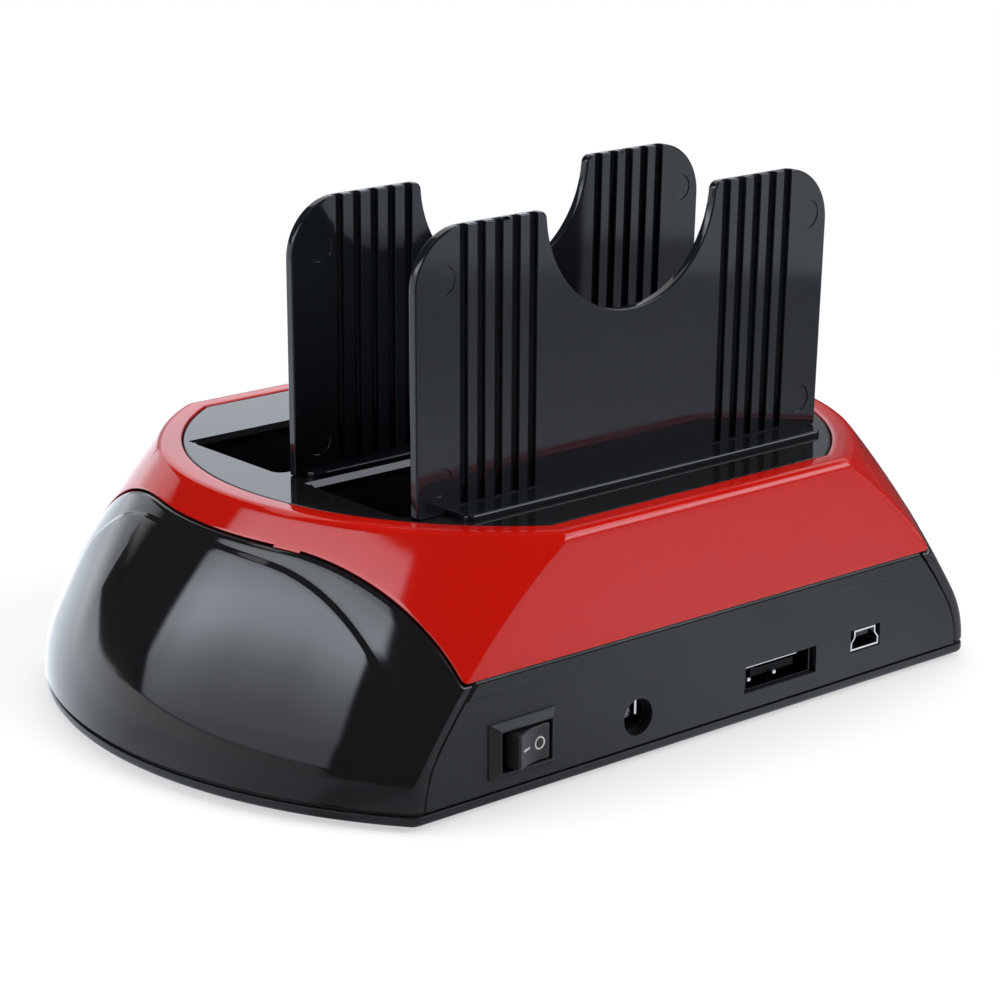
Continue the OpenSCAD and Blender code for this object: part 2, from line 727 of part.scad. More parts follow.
module bezel_block() translate([0, -half_d, 0]) intersection() {
    translate([0, 0, -bezel[1] / 2]) linear_extrude(bezel[1])
        polygon([for (p = bezel_side(bezel[0], cavity[0])) [p[1], -p[0]]]);
    translate([-bezel[0] / 2, 0, 0]) rotate([90, 0, 90]) linear_extrude(bezel[0])
        polygon([for (p = bezel_side(bezel[1], cavity[1])) [-p[0], p[1]]]);
}

module switch_frame() color([0.09, 0.09, 0.1]) on_feet() translate([switch_x, 0, switch_z]) difference() {
    union() {
        bezel_block();
        box([-switch_body[0] / 2, -half_d - cut, -switch_body[1] / 2],
            [switch_body[0] / 2, -half_d + switch_depth, switch_body[1] / 2]);
    }
    box([-cavity[0] / 2, -far, -cavity[1] / 2], [cavity[0] / 2, -half_d + switch_depth - 2, cavity[1] / 2]);
    rod([0, pivot_y, -pivot_l / 2 - pivot_gap], pivot_r + pivot_gap, pivot_l + 2 * pivot_gap);
}

// Rocker with two sloping halves, resting with its right half pressed in
module switch_rocker() color([0.11, 0.11, 0.12]) on_feet() translate([switch_x, pivot_y, switch_z])
    rotate([0, 0, rocker_tilt]) {
        half = rocker[0] / 2;
        crown = rocker_crown[0];
        valley = rocker_crown[1];
        translate([0, 0, -rocker[1] / 2]) linear_extrude(rocker[1])
            polygon([[-half, -crown], [0, -valley], [half, -crown], [half, -0.6], [2, 2.2], [-2, 2.2], [-half, -0.6]]);
        rod([0, 0, -pivot_l / 2], pivot_r, pivot_l);
    }

module switch_blades() color([0.8, 0.75, 0.6]) on_feet() {
    for (x = [-3.5, 3.5]) translate([switch_x + x - 0.4, -half_d + switch_depth, switch_z - 2.4])
        cube([0.8, blade_l, 4.8]);
}

module dc_jack() color([0.07, 0.07, 0.07]) on_feet() difference() {
    translate([jack_x - jack_body[0] / 2, -face_in, jack_z - jack_body[2] / 2]) cube(jack_body);
    rod_y([jack_x, -face_in - cut, jack_z], jack_bore / 2, jack_deep + cut);
}

module dc_jack_pin() color([0.8, 0.8, 0.82]) on_feet()
    rod_y([jack_x, -face_in + 1, jack_z], jack_pin_d / 2, jack_deep - 1);

module esata_shell() color([0.75, 0.75, 0.77]) on_feet()
    translate([esata_x, -half_d + port_in, board_top]) difference() {
        box([-esata[0] / 2, 0, 0], [esata[0] / 2, port_deep, esata[1]]);
        box([port_wall - esata[0] / 2, -cut, port_wall], [esata[0] / 2 - port_wall, port_deep + cut, esata[1] - port_wall]);
    }

module esata_tongue() color([0.08, 0.08, 0.08]) on_feet()
    translate([esata_x, -half_d + port_in, board_top]) {
        inner = esata[0] / 2 - port_wall;
        block_t = 3;
        tongue = [11.4, 1.5];
        box([-inner, port_deep - block_t, port_wall], [inner, port_deep, esata[1] - port_wall]);
        translate([-tongue[0] / 2, 1.5, esata[1] / 2 - tongue[1] / 2])
            cube([tongue[0], port_deep - block_t, tongue[1]]);
        box([-tongue[0] / 2, 1.5, esata[1] / 2], [1.2 - tongue[0] / 2, port_deep - block_t, esata[1] - 1.2]);
    }

module mini_usb_shell() color([0.78, 0.78, 0.8]) on_feet()
    translate([usb_x, -half_d + usb_set + port_deep, usb_z]) rotate([90, 0, 0]) difference() {
        linear_extrude(port_deep) usb_outline(0);
        translate([0, 0, -cut]) linear_extrude(port_deep + 2 * cut) usb_outline(-port_wall);
    }

module mini_usb_tongue() color([0.08, 0.08, 0.08]) on_feet()
    translate([usb_x, -half_d + usb_set, 0]) {
        block_t = 3;
        back_t = 1.2;
        leaf = [usb_narrow_w - 1.6, 0.9];
        translate([0, port_deep, usb_z]) rotate([90, 0, 0]) linear_extrude(block_t) usb_outline(-port_wall);
        translate([-leaf[0] / 2, 1.2, usb_z + usb[1] * 0.55]) cube([leaf[0], port_deep - block_t, leaf[1]]);
        box([-usb[0] / 2, face_t, board_top], [usb[0] / 2, port_deep, usb_z]);
        box([-usb[0] / 2, port_deep, board_top], [usb[0] / 2, port_deep + back_t, usb_z + usb[1]]);
    }

module backup_button() color([0.3, 0.3, 0.32]) on_feet() {
    rest_gap = 0.1;
    flange_y = face_in - rest_gap - flange_t;
    stem_y = tact_y + tact[1] + plunger + button_travel + rest_gap;
    rod_y([button_x, flange_y, button_z], button_d / 2, half_d + button_out - flange_y);
    rod_y([button_x, flange_y, button_z], button_d / 2 + 1, flange_t);
    rod_y([button_x, stem_y, button_z], stem_d / 2, flange_y + cut / 2 - stem_y);
}

module tact_switch() color([0.15, 0.15, 0.16]) on_feet() {
    translate([button_x - tact[0] / 2, tact_y, board_top]) cube(tact);
    rod_y([button_x, tact_y + tact[1] - cut / 2, button_z], stem_d / 2 - 0.3, plunger + cut / 2);
}

module light_pipes() color([0.85, 0.9, 0.95]) on_feet() {
    for (x = lamp_xs) rod_y([x, board_y1, button_z], lamp_d / 2, half_d + 0.6 - board_y1);
}

module status_leds() color([0.9, 0.9, 0.85]) on_feet() {
    led_t = 3;
    for (x = lamp_xs)
        box([x - lamp_d / 2, board_y1 - led_t, board_top], [x + lamp_d / 2, board_y1, button_z + lamp_d / 2]);
}

module case_screws() color([0.5, 0.5, 0.52]) on_feet() {
    for (p = corners(post_at))
        translate([p[0], p[1], head_sink + head_h]) screw(post_z + case_screw_up - head_sink - head_h);
}

module board_screws() color([0.6, 0.6, 0.62]) on_feet() {
    for (x = [-1, 1], y = [-board_screw_y[0], board_screw_y[1]])
        translate([x * board_screw_x, y, board_top]) mirror([0, 0, 1]) screw(board_top - cut - 0.2);
}

module bay_screws() color([0.6, 0.6, 0.62]) on_feet() {
    for (i = [0, 1], p = bay_screw_at(i))
        translate([p[0], p[1], panel_low - bay_boss_h - ear_t]) screw(ear_t + bay_boss_h);
}

module rubber_feet() color([0.05, 0.05, 0.05]) {
    for (p = corners(foot_c * [cos(foot_angle), sin(foot_angle)]))
        rod([p[0], p[1], 0], foot_d / 2, foot_out + foot_in);
}

base_tray();
left_end_cap();
right_end_cap();
upper_shell();
top_panel();
rear_panel();
front_panel();
rear_drive_bay();
front_drive_bay();
rear_guide_plate();
front_guide_plate();
main_board();
rear_sata_socket();
front_sata_socket();
sata_contacts();
bridge_chips();
capacitors();
quartz_crystal();
switch_frame();
switch_rocker();
switch_blades();
dc_jack();
dc_jack_pin();
esata_shell();
esata_tongue();
mini_usb_shell();
mini_usb_tongue();
backup_button();
tact_switch();
light_pipes();
status_leds();
case_screws();
board_screws();
bay_screws();
rubber_feet();
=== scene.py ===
# %% [markdown]
# # A docking station for two hard drives
#
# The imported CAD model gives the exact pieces, their places and their joints. This lesson dresses it: the
# large moulded covers become smooth surfaces worked out with numpy, and every piece gets a plastic, metal
# or rubber finish made of nodes. All sizes below are millimetres until a mesh is written, in metres.

import json

import bpy
import numpy as np
from mathutils import Matrix


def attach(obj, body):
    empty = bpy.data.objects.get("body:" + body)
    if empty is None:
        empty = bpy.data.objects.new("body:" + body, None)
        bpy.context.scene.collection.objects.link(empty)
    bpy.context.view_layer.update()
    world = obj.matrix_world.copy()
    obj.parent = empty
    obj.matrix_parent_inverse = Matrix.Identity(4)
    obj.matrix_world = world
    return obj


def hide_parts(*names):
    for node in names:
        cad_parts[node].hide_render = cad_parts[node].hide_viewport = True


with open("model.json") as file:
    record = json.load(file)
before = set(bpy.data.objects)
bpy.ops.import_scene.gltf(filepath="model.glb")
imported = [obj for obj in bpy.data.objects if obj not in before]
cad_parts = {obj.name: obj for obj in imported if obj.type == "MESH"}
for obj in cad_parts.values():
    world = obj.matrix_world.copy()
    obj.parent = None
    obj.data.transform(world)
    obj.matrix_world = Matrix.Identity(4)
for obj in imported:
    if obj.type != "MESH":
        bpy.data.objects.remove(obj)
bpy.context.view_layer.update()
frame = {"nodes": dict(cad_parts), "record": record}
nodes = frame["nodes"]

# %% [markdown]
# ## The camera
#
# The photograph was taken from the left of the port panel and a little above it. A camera can be placed by
# eye, but here its place was worked out from edges of known size, so it is written as three directions:
# right, up and back. The lens follows from the angle of view.

# %% Camera
CAMERA_PLACE = np.array([-0.36637, -0.43094, 0.20369])
SENSOR_W, LENS, NEAR_CLIP = 36, 108.06, 0.01
azimuth, elevation = np.radians(-40.234), np.radians(16.801)
right = np.array([np.cos(azimuth), np.sin(azimuth), 0])
back = np.array([np.sin(azimuth) * np.cos(elevation), -np.cos(azimuth) * np.cos(elevation),
                 np.sin(elevation)])
up = np.cross(back, right)

camera_data = bpy.data.cameras.new("camera")
camera_data.sensor_width = SENSOR_W
camera_data.lens = LENS
camera_data.clip_start = NEAR_CLIP
camera = bpy.data.objects.new("camera", camera_data)
turn = np.eye(4)
turn[:3, :3] = np.column_stack([right, up, back])
turn[:3, 3] = CAMERA_PLACE
camera.matrix_world = Matrix(turn.tolist())
bpy.context.scene.collection.objects.link(camera)
bpy.context.scene.camera = camera
print("camera is", round(float(np.linalg.norm(CAMERA_PLACE)), 3), "m from the origin")

# %% [markdown]
# ## From arrays to meshes
#
# Every new piece is a grid of points: a closed outline that is carried through a list of rows. One helper
# joins neighbouring rows with quads, closes the first and last row with a flat face, and marks as sharp only
# the edges that really are. Points can be set one by one, but whole arrays are quicker and easier to read.

# %% Mesh helpers
MM = 0.001
FLAT_AREA = 6e-6
SHARP_ANGLE = 35


def grid_quads(rows, columns, close_columns=True, close_rows=False):
    """Quads between neighbouring rows and columns, numbered row by row."""
    i = np.arange(rows if close_rows else rows - 1)[:, None]
    j = np.arange(columns if close_columns else columns - 1)[None, :]
    i_next = (i + 1) % rows
    j_next = (j + 1) % columns
    corners = [i * columns + j, i * columns + j_next, i_next * columns + j_next, i_next * columns + j]
    return np.stack([np.broadcast_to(c, (i.size, j.size)) for c in corners], axis=-1).reshape(-1, 4)


def keep_flat(mesh, sharp_angle):
    """Smooth shading, sharp at steep edges and round each large flat face, so that its gloss stays flat."""
    mesh.shade_smooth()
    mesh.set_sharp_from_angle(angle=np.radians(sharp_angle))
    sides = np.empty(len(mesh.polygons), np.int32)
    mesh.polygons.foreach_get("loop_total", sides)
    area = np.empty(len(mesh.polygons), np.float32)
    mesh.polygons.foreach_get("area", area)
    edge_of = np.empty(len(mesh.loops), np.int32)
    mesh.loops.foreach_get("edge_index", edge_of)
    sharp = np.empty(len(mesh.edges), bool)
    mesh.edges.foreach_get("use_edge_sharp", sharp)
    sharp[edge_of[np.repeat((sides > 4) | (area > FLAT_AREA), sides)]] = True
    mesh.edges.foreach_set("use_edge_sharp", sharp)


def make_piece(name, points, quads, lids=(), sharp_angle=SHARP_ANGLE):
    """A mesh object from points in millimetres, quads, and flat lids given as rings of point numbers."""
    mesh = bpy.data.meshes.new(name)
    faces = quads.tolist() + [list(map(int, ring)) for ring in lids]
    mesh.from_pydata((points * MM).tolist(), [], faces)
    mesh.validate()
    keep_flat(mesh, sharp_angle)
    piece = bpy.data.objects.new(name, mesh)
    bpy.context.scene.collection.objects.link(piece)
    return piece


def carve(piece, cutters, sharp_angle=SHARP_ANGLE):
    """Cuts each cutter out of a piece for good, and removes the cutters."""
    for cutter in cutters:
        step = piece.modifiers.new(cutter.name, "BOOLEAN")
        step.operation = "DIFFERENCE"
        step.solver = "EXACT"
        step.object = cutter
    bpy.context.view_layer.update()
    solid = piece.evaluated_get(bpy.context.evaluated_depsgraph_get())
    carved = bpy.data.meshes.new_from_object(solid)
    piece.modifiers.clear()
    piece.data = carved
    keep_flat(carved, sharp_angle)
    for cutter in cutters:
        bpy.data.objects.remove(cutter)
    return piece


def arc_chain(arcs):
    """Closed outline of arcs (x, y, radius, start, end, steps, side) in degrees, joined by straight lines.
    side is 1 where the arc bulges out of the material and -1 where it cuts in. Returns points and normals."""
    points, normals = [], []
    for x, y, radius, start, end, steps, side in arcs:
        angle = np.radians(np.linspace(start, end, steps))
        spoke = np.column_stack([np.cos(angle), np.sin(angle)])
        points.append(np.array([x, y]) + radius * spoke)
        normals.append(side * spoke)
    return np.concatenate(points), np.concatenate(normals)


def disc(radius, x=0.0, y=0.0, steps=48):
    """Outline of a circle about (x, y)."""
    return arc_chain([(x, y, radius, 0, 360 - 360 / steps, steps, 1)])


def lofted(name, outline, insets, levels, place, sharp_angle=SHARP_ANGLE):
    """A solid whose outline is drawn in by insets at levels; place turns (a, b, level) into x, y, z."""
    ring, normals = outline
    insets = np.asarray(insets, float)[:, None, None]
    flat = ring[None] - insets * normals[None]
    level = np.broadcast_to(np.asarray(levels, float)[:, None], flat.shape[:2])
    points = np.stack(place(flat[..., 0], flat[..., 1], level), axis=-1).reshape(-1, 3)
    rows, columns = flat.shape[:2]
    lids = [np.arange(columns)[::-1], np.arange(columns) + (rows - 1) * columns]
    return make_piece(name, points, grid_quads(rows, columns), lids, sharp_angle)


def rounded_rect(width, height, radius, x=0.0, y=0.0, steps=9):
    """Outline of a rectangle with round corners about (x, y)."""
    w, h = width / 2 - radius, height / 2 - radius
    return arc_chain([
        (x - w, y - h, radius, 180, 270, steps, 1),
        (x + w, y - h, radius, 270, 360, steps, 1),
        (x + w, y + h, radius, 0, 90, steps, 1),
        (x - w, y + h, radius, 90, 180, steps, 1),
    ])


def edge_rows(low, high, low_round, high_round, steps=5):
    """Insets and levels of a slab from low to high with quarter-round edges."""
    angle = np.radians(np.linspace(0, 90, steps))
    insets = np.concatenate([low_round * (1 - np.sin(angle)), high_round * (1 - np.cos(angle))])
    levels = np.concatenate([low + low_round * (1 - np.cos(angle)), high - high_round * (1 - np.sin(angle))])
    return insets, levels


print("mesh helpers ready")

# %% [markdown]
# ## Finishes
#
# Injection moulded plastic is never one flat colour: polished steel moulds leave a faint ripple, and handling
# leaves patches that are slightly duller. Spark-eroded moulds leave a fine even grain. Each finish is one
# shader whose roughness and height come from noise in the object's own coordinates, in metres.

# %% Finish maker
NOISE_LOW, NOISE_HIGH = 0.3, 0.7


def fill(tree, node, inputs):
    """Gives each named input of a node a value, or a link from another node's output."""
    for name, value in inputs.items():
        if isinstance(value, bpy.types.NodeSocket):
            tree.links.new(value, node.inputs[name])
        else:
            node.inputs[name].default_value = value


def add_node(tree, kind, inputs=(), **settings):
    """New shader node of a kind, with its settings made before its inputs are filled."""
    node = tree.nodes.new("ShaderNode" + kind)
    for setting, value in settings.items():
        setattr(node, setting, value)
    fill(tree, node, dict(inputs))
    return node


def blank_material(name):
    """New material, with its node tree and its shader."""
    material = bpy.data.materials.new(name)
    material.use_nodes = True
    return material, material.node_tree, material.node_tree.nodes["Principled BSDF"]


def finish(name, colour, rough, patch_scale, grain_scale, grain, metallic=0.0, ior=1.5, shade=0.06):
    """Shader with patches between two roughness values, a grain of that height in metres and some shade."""
    material, tree, shader = blank_material(name)
    place = add_node(tree, "TexCoord").outputs["Object"]
    patches = add_node(tree, "TexNoise", {"Vector": place, "Scale": patch_scale, "Detail": 3}).outputs["Fac"]
    spread = add_node(tree, "MapRange", {"Value": patches, "From Min": NOISE_LOW, "From Max": NOISE_HIGH,
                                         "To Min": rough[0], "To Max": rough[1]})
    darker, lighter = [(*[c * k for c in colour], 1) for k in (1 - shade, 1 + shade)]
    tint = add_node(tree, "Mix", {"Factor": patches, "A": darker, "B": lighter}, data_type="RGBA")
    fine = add_node(tree, "TexNoise", {"Vector": place, "Scale": grain_scale, "Detail": 2}).outputs["Fac"]
    bump = add_node(tree, "Bump", {"Height": fine, "Strength": 1, "Distance": grain})
    fill(tree, shader, {"Base Color": tint.outputs["Result"], "Roughness": spread.outputs["Result"],
                        "Normal": bump.outputs["Normal"], "Metallic": metallic, "IOR": ior})
    return material


print("finish maker ready")

# %% [markdown]
# ## A finish for each piece
#
# The CAD record gives each piece a finish by name. The covers are polished, the port panels and the tray are
# grained, and metal is left to the ports, contacts and screws. The drive port's sheet and tongue could share
# the other ports' finish, but they sit deep in shade, so they get darkened finishes instead: painted shade.

# %% Finishes
finishes = {
    "red_gloss": finish("polished_red", (0.46, 0.007, 0.003), (0.05, 0.09), 40, 250, 2e-6, shade=0.03),
    "black_gloss": finish("polished_black", (0.008, 0.008, 0.009), (0.04, 0.08), 45, 250, 2e-6),
    "plate_gloss": finish("polished_plate", (0.008, 0.0098, 0.0128), (0.05, 0.11), 60, 300, 2e-6),
    "black_satin": finish("spark_eroded_black", (0.0098, 0.0115, 0.0128), (0.36, 0.46), 90, 4200, 2.2e-5),
    "bay_plastic": finish("matt_well_black", (0.008, 0.008, 0.009), (0.45, 0.6), 70, 3000, 2e-5),
    "board_green": finish("solder_mask_green", (0.012, 0.12, 0.045), (0.25, 0.4), 120, 1500, 8e-6, shade=0.2),
    "socket_black": finish("moulded_socket_black", (0.011, 0.011, 0.012), (0.3, 0.42), 150, 3000, 1e-5),
    "contact_gold": finish("plated_contact", (0.83, 0.6, 0.22), (0.18, 0.3), 400, 3000, 4e-6, metallic=1),
    "port_metal": finish("bright_port_sheet", (0.78, 0.78, 0.79), (0.12, 0.25), 500, 2500, 5e-6, metallic=1),
    # Painted shade: the next two finishes are darkened because the drive port's sheet and tongue sit deep in
    # shade.
    "dark_nickel": finish("painted_shade_port_sheet", (0.05, 0.05, 0.055), (0.25, 0.4), 500, 2500, 5e-6, metallic=1),
    "port_shade": finish("painted_shade_tongue", (0.004, 0.004, 0.0045), (0.4, 0.55), 150, 3000, 1e-5, ior=1.25),
    "capacitor_can": finish("bare_can", (0.6, 0.62, 0.66), (0.2, 0.35), 300, 2500, 5e-6, metallic=1),
    "button_grey": finish("grey_button", (0.16, 0.16, 0.17), (0.2, 0.3), 200, 2500, 6e-6),
    "lamp_clear": finish("clear_lamp", (0.72, 0.76, 0.8), (0.05, 0.12), 300, 1500, 2e-6),
    "screw_steel": finish("plated_screw", (0.5, 0.5, 0.51), (0.25, 0.4), 600, 3000, 6e-6, metallic=1),
    "foot_rubber": finish("matt_rubber", (0.012, 0.012, 0.012), (0.7, 0.85), 200, 2600, 3e-5),
    "rocker_gloss": finish("moulded_rocker", (0.012, 0.0125, 0.0135), (0.2, 0.3), 200, 3000, 4e-6),
    "mark_white": finish("printed_white", (0.5, 0.5, 0.5), (0.4, 0.55), 900, 3000, 4e-6),
}
for part in frame["record"]["subparts"]:
    nodes[part["node"]].data.materials.clear()
    nodes[part["node"]].data.materials.append(finishes[part["material_slot"]])
# Painted shade: the drive port's sheet and tongue take the darkened finishes.
nodes["esata_shell"].data.materials[0] = finishes["dark_nickel"]
nodes["esata_tongue"].data.materials[0] = finishes["port_shade"]
print("finishes:", len(finishes))


def dress(piece, body, slot_name, replaced=(), look=None):
    """Gives a piece its finish, the body that it rides on and the CAD nodes that it stands for."""
    piece.data.materials.clear()
    piece.data.materials.append(finishes[look or slot_name])
    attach(piece, body)
    if replaced:
        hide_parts(*replaced)
    print(piece.name, len(piece.data.polygons), "faces")
    return piece


# %% [markdown]
# ## The shape of the body
#
# The body is a bell turned about the upright axis and cut flat at the back and the front. Its flank is two
# arcs that meet with the same lean. One function gives the flank's radius at a height, one the height of the
# arched seam, and one the plan outline: a round end, a soft corner and a straight side. Because the corner
# has columns of its own, the highlight along it stays clean.

# %% Flank, seam and outline
FOOT = 1.0
BODY_R, RIM_R, TOP_H, HALF_D = 91.0, 67.4, 46.3, 58.25
BELLY_H, BELLY_R, LEAN = 2.5, 25.0, np.radians(27)
BELLY_X = BODY_R - BELLY_R
KNEE = np.array([BELLY_X + BELLY_R * np.cos(LEAN), BELLY_H + BELLY_R * np.sin(LEAN)])
CHORD = np.array([KNEE[0] - RIM_R, TOP_H - KNEE[1]])
BEND = np.arctan2(CHORD[0], CHORD[1]) - LEAN
FLANK_R = np.hypot(*CHORD) / (2 * np.sin(BEND))
FLANK_C = KNEE - FLANK_R * np.array([np.cos(LEAN), np.sin(LEAN)])
SEAM_TOP, SEAM_SIDE, SEAM_R, SEAM_GAP = 40.7, 23.2, 52.0, 0.4
SEAM_FLAT = HALF_D - np.sqrt(SEAM_R**2 - (SEAM_R - SEAM_TOP + SEAM_SIDE) ** 2)
SEAM_GUESS, SEAM_TURNS = 30.0, 60
CORNER_R = 2.6


def flank_radius(h, inset=0.0):
    """Radius of the bell at height h, moved inwards by inset: one arc below the knee and another above."""
    low = BELLY_X + np.sqrt(np.maximum((BELLY_R - inset) ** 2 - (h - BELLY_H) ** 2, 0))
    high = FLANK_C[0] + np.sqrt(np.maximum((FLANK_R - inset) ** 2 - (h - FLANK_C[1]) ** 2, 0))
    return np.where(h < BELLY_H + (BELLY_R - inset) * np.sin(LEAN), low, high)


def seam_height(y):
    """Height of the seam at depth y: level in the middle, then a round arch down to the flat sides."""
    out = np.maximum(np.abs(y) - SEAM_FLAT, 0)
    return SEAM_TOP - SEAM_R + np.sqrt(np.maximum(SEAM_R**2 - out**2, 0))


def quarter(arc_steps, corner_steps, flat_steps):
    """Columns of a quarter outline: kind 0 round end, 1 corner, 2 straight, each with a share of 0 to 1."""
    kind = np.repeat([0, 1, 2], [arc_steps, corner_steps, flat_steps])
    share = np.concatenate([
        np.linspace(0, 1, arc_steps, endpoint=False),
        np.linspace(0, 1, corner_steps, endpoint=False),
        np.linspace(0, 1, flat_steps),
    ])
    return kind, share


def outline_xy(kind, share, r, d, corner, flat_end=0.0):
    """Point on the plan outline of radius r cut at depth d with that corner; flat_end ends the straight."""
    corner_y = d - corner
    corner_x = np.sqrt(np.maximum((r - corner) ** 2 - corner_y**2, 0))
    meet = np.arctan2(corner_y, corner_x)
    angle = np.where(kind == 0, share * meet, meet + share * (np.pi / 2 - meet))
    x = np.select([kind == 0, kind == 1], [r * np.cos(angle), corner_x + corner * np.cos(angle)],
                  corner_x + share * (flat_end - corner_x))
    y = np.select([kind == 0, kind == 1], [r * np.sin(angle), corner_y + corner * np.sin(angle)],
                  np.broadcast_to(d, np.shape(x)))
    return x, y


def seam_line(kind, share, lift):
    """Height of the seam in each column, found by stepping towards the height where flank and arch agree."""
    h = np.full(kind.shape, SEAM_GUESS)
    for _ in range(SEAM_TURNS):
        y = outline_xy(kind, share, flank_radius(h), HALF_D, CORNER_R)[1]
        h = seam_height(y) + lift
    return h


print("flank radius", round(float(FLANK_R), 1), "seam flat half", round(float(SEAM_FLAT), 2))

# %% [markdown]
# ## The red upper shell
#
# The red shell hangs low at the back and the front and is a thin band at the ends. It could be cut from a
# turned solid with booleans, but then the grid would cross the seam at an angle and the gloss would show it.
# Here each column starts on the seam, so the rows bend with it. They go over the rounded rim, into the groove
# for the top panel, and back down the inside, which makes one closed wall.

# %% Red upper shell
RIM_ROUND, LIP_ROUND, WALL, INNER_DROP, INNER_LEAST = 2.2, 0.35, 2.2, 4, 0.6
OPEN_R, OPEN_D, OPEN_CORNER, OPEN_DEEP = 63.2, 52.8, 0.9, 2.6
TAB_YS, TAB_DROP, TAB_EDGE, FINE_STEPS = (17.6, 23.3), 0.4, 0.06, 400
END_COLUMNS, CORNER_COLUMNS, FLAT_COLUMNS = 44, 9, 22
EDGE_LIFT = 0.3
SEAM_EDGE = ((WALL, 0.0), (0.5, 0.0), (0.15, 0.03), (0.04, 0.12), (0.0, EDGE_LIFT))

q_kind, q_share = quarter(END_COLUMNS, CORNER_COLUMNS, FLAT_COLUMNS)
fine_share = np.linspace(0, 1, FINE_STEPS)
fine_kind = np.zeros(FINE_STEPS, int)
fine_seam = seam_line(fine_kind, fine_share, SEAM_GAP)
fine_y = outline_xy(fine_kind, fine_share, flank_radius(fine_seam), HALF_D, CORNER_R)[1]
tab_share = np.interp(np.add.outer(TAB_YS, [-TAB_EDGE, TAB_EDGE]).ravel(), fine_y, fine_share)
end_share = np.sort(np.concatenate([tab_share, q_share[:END_COLUMNS]]))
q_kind = np.concatenate([np.zeros(tab_share.size, int), q_kind])
q_share = np.concatenate([end_share, q_share[END_COLUMNS:]])
last = q_kind.size
forward, backward = np.arange(last - 1), np.arange(last - 1, 0, -1)
order = np.concatenate([forward, backward, forward, backward])
sign_x = np.repeat([1, -1, -1, 1], last - 1)
sign_y = np.repeat([1, 1, -1, -1], last - 1)
kind, share = q_kind[order], q_share[order]

seam = seam_line(kind, share, SEAM_GAP)
seam_y = outline_xy(kind, share, flank_radius(seam), HALF_D, CORNER_R)[1]
on_tab = (sign_x < 0) & (sign_y < 0) & (seam_y > TAB_YS[0]) & (seam_y < TAB_YS[1])
seam = seam - TAB_DROP * on_tab
rim_lean = LEAN + 2 * BEND
round_h = TOP_H - RIM_ROUND
rim_c = flank_radius(round_h + RIM_ROUND * np.sin(rim_lean)) - RIM_ROUND * np.cos(rim_lean)
level, radius, depth, corner = [], [], [], []


def add_row(h, r, d, c):
    """One more row of heights, radii, depths and corner radii, one value for each column."""
    for store, value in ((level, h), (radius, r), (depth, d), (corner, c)):
        store.append(np.broadcast_to(value, seam.shape).astype(float))


for inset, lift in SEAM_EDGE:
    add_row(seam + lift, flank_radius(seam + lift) - inset, HALF_D - inset, CORNER_R)
for step in np.linspace(0, 1, 28)[1:]:
    h = seam + EDGE_LIFT + step * (round_h - seam - EDGE_LIFT)
    add_row(h, flank_radius(h), HALF_D, CORNER_R)
for angle in np.radians(np.linspace(0, 90, 11)[1:]):
    h = round_h + RIM_ROUND * np.sin(angle)
    r = flank_radius(h) if angle < rim_lean else rim_c + RIM_ROUND * np.cos(angle)
    add_row(h, r, HALF_D - RIM_ROUND * (1 - np.cos(angle)), CORNER_R)
for step in (0.33, 0.67, 1.0):
    add_row(TOP_H, rim_c + step * (OPEN_R + LIP_ROUND - rim_c),
            HALF_D - RIM_ROUND + step * (OPEN_D + LIP_ROUND - HALF_D + RIM_ROUND),
            CORNER_R + step * (OPEN_CORNER - CORNER_R))
for angle in np.radians(np.linspace(0, 90, 5)[1:]):
    drawn = LIP_ROUND * np.sin(angle)
    add_row(TOP_H - LIP_ROUND * (1 - np.cos(angle)), OPEN_R + LIP_ROUND - drawn, OPEN_D + LIP_ROUND - drawn,
            OPEN_CORNER)
add_row(TOP_H - OPEN_DEEP, OPEN_R, OPEN_D, OPEN_CORNER)
h = seam + 0.5 * (TOP_H - INNER_DROP - seam)
add_row(np.maximum(h, seam + INNER_LEAST), flank_radius(h) - WALL, HALF_D - WALL, CORNER_R)

shell_h = np.array(level)
shell_x, shell_y = outline_xy(kind, share, np.array(radius), np.array(depth), np.array(corner))
shell_points = np.stack([sign_x * shell_x, sign_y * shell_y, shell_h + FOOT], axis=-1).reshape(-1, 3)
shell = make_piece("red_upper_shell", shell_points, grid_quads(*shell_h.shape, close_rows=True))
dress(shell, "case", "red_gloss", ["upper_shell"])

# %% [markdown]
# ## The black end caps
#
# Each cap fills the end below the seam. Along the seam runs a plain band, and below it the cap swells by
# 0.4 mm: the soft step between them is the dark curve in the gloss. It could be sculpted, but a smooth rise
# that follows how far a point lies below the seam can be added to the flank's radius. It dies away towards
# the corners.

# %% Black end caps
CAP_EDGE, CAP_LOW, CAP_ROUND, CAP_WALL = 1.4, 2.4, 0.6, 2.2
CAP_FLAT, CAP_CORNER, CAP_COLUMNS, CAP_ROWS = 5, 8, 200, (6, 14, 50)
SWELL, STEP_W, SWELL_END, SWELL_FADE = 0.4, 0.8, 42, 9
CREASE_TOP, CREASE_BEND, CREASE_DIP, CREASE_CLEAR = 1.8, 0.001, 4e-5, 4
CREASE_GUESS, CREASE_TURNS = 2.0, 30


def smooth(x):
    """Rises from 0 to 1 with level ends."""
    x = np.clip(x, 0, 1)
    return x * x * (3 - 2 * x)


def crease_line(kind, share, top):
    """Distance of the crease below the seam in each column: the plain band widens towards the corners."""
    below = np.full(kind.shape, CREASE_GUESS)
    for _ in range(CREASE_TURNS):
        y = outline_xy(kind, share, flank_radius(top - below), HALF_D, CORNER_R)[1]
        below = CREASE_TOP + CREASE_BEND * y**2 + CREASE_DIP * np.abs(y) ** 3
    return below


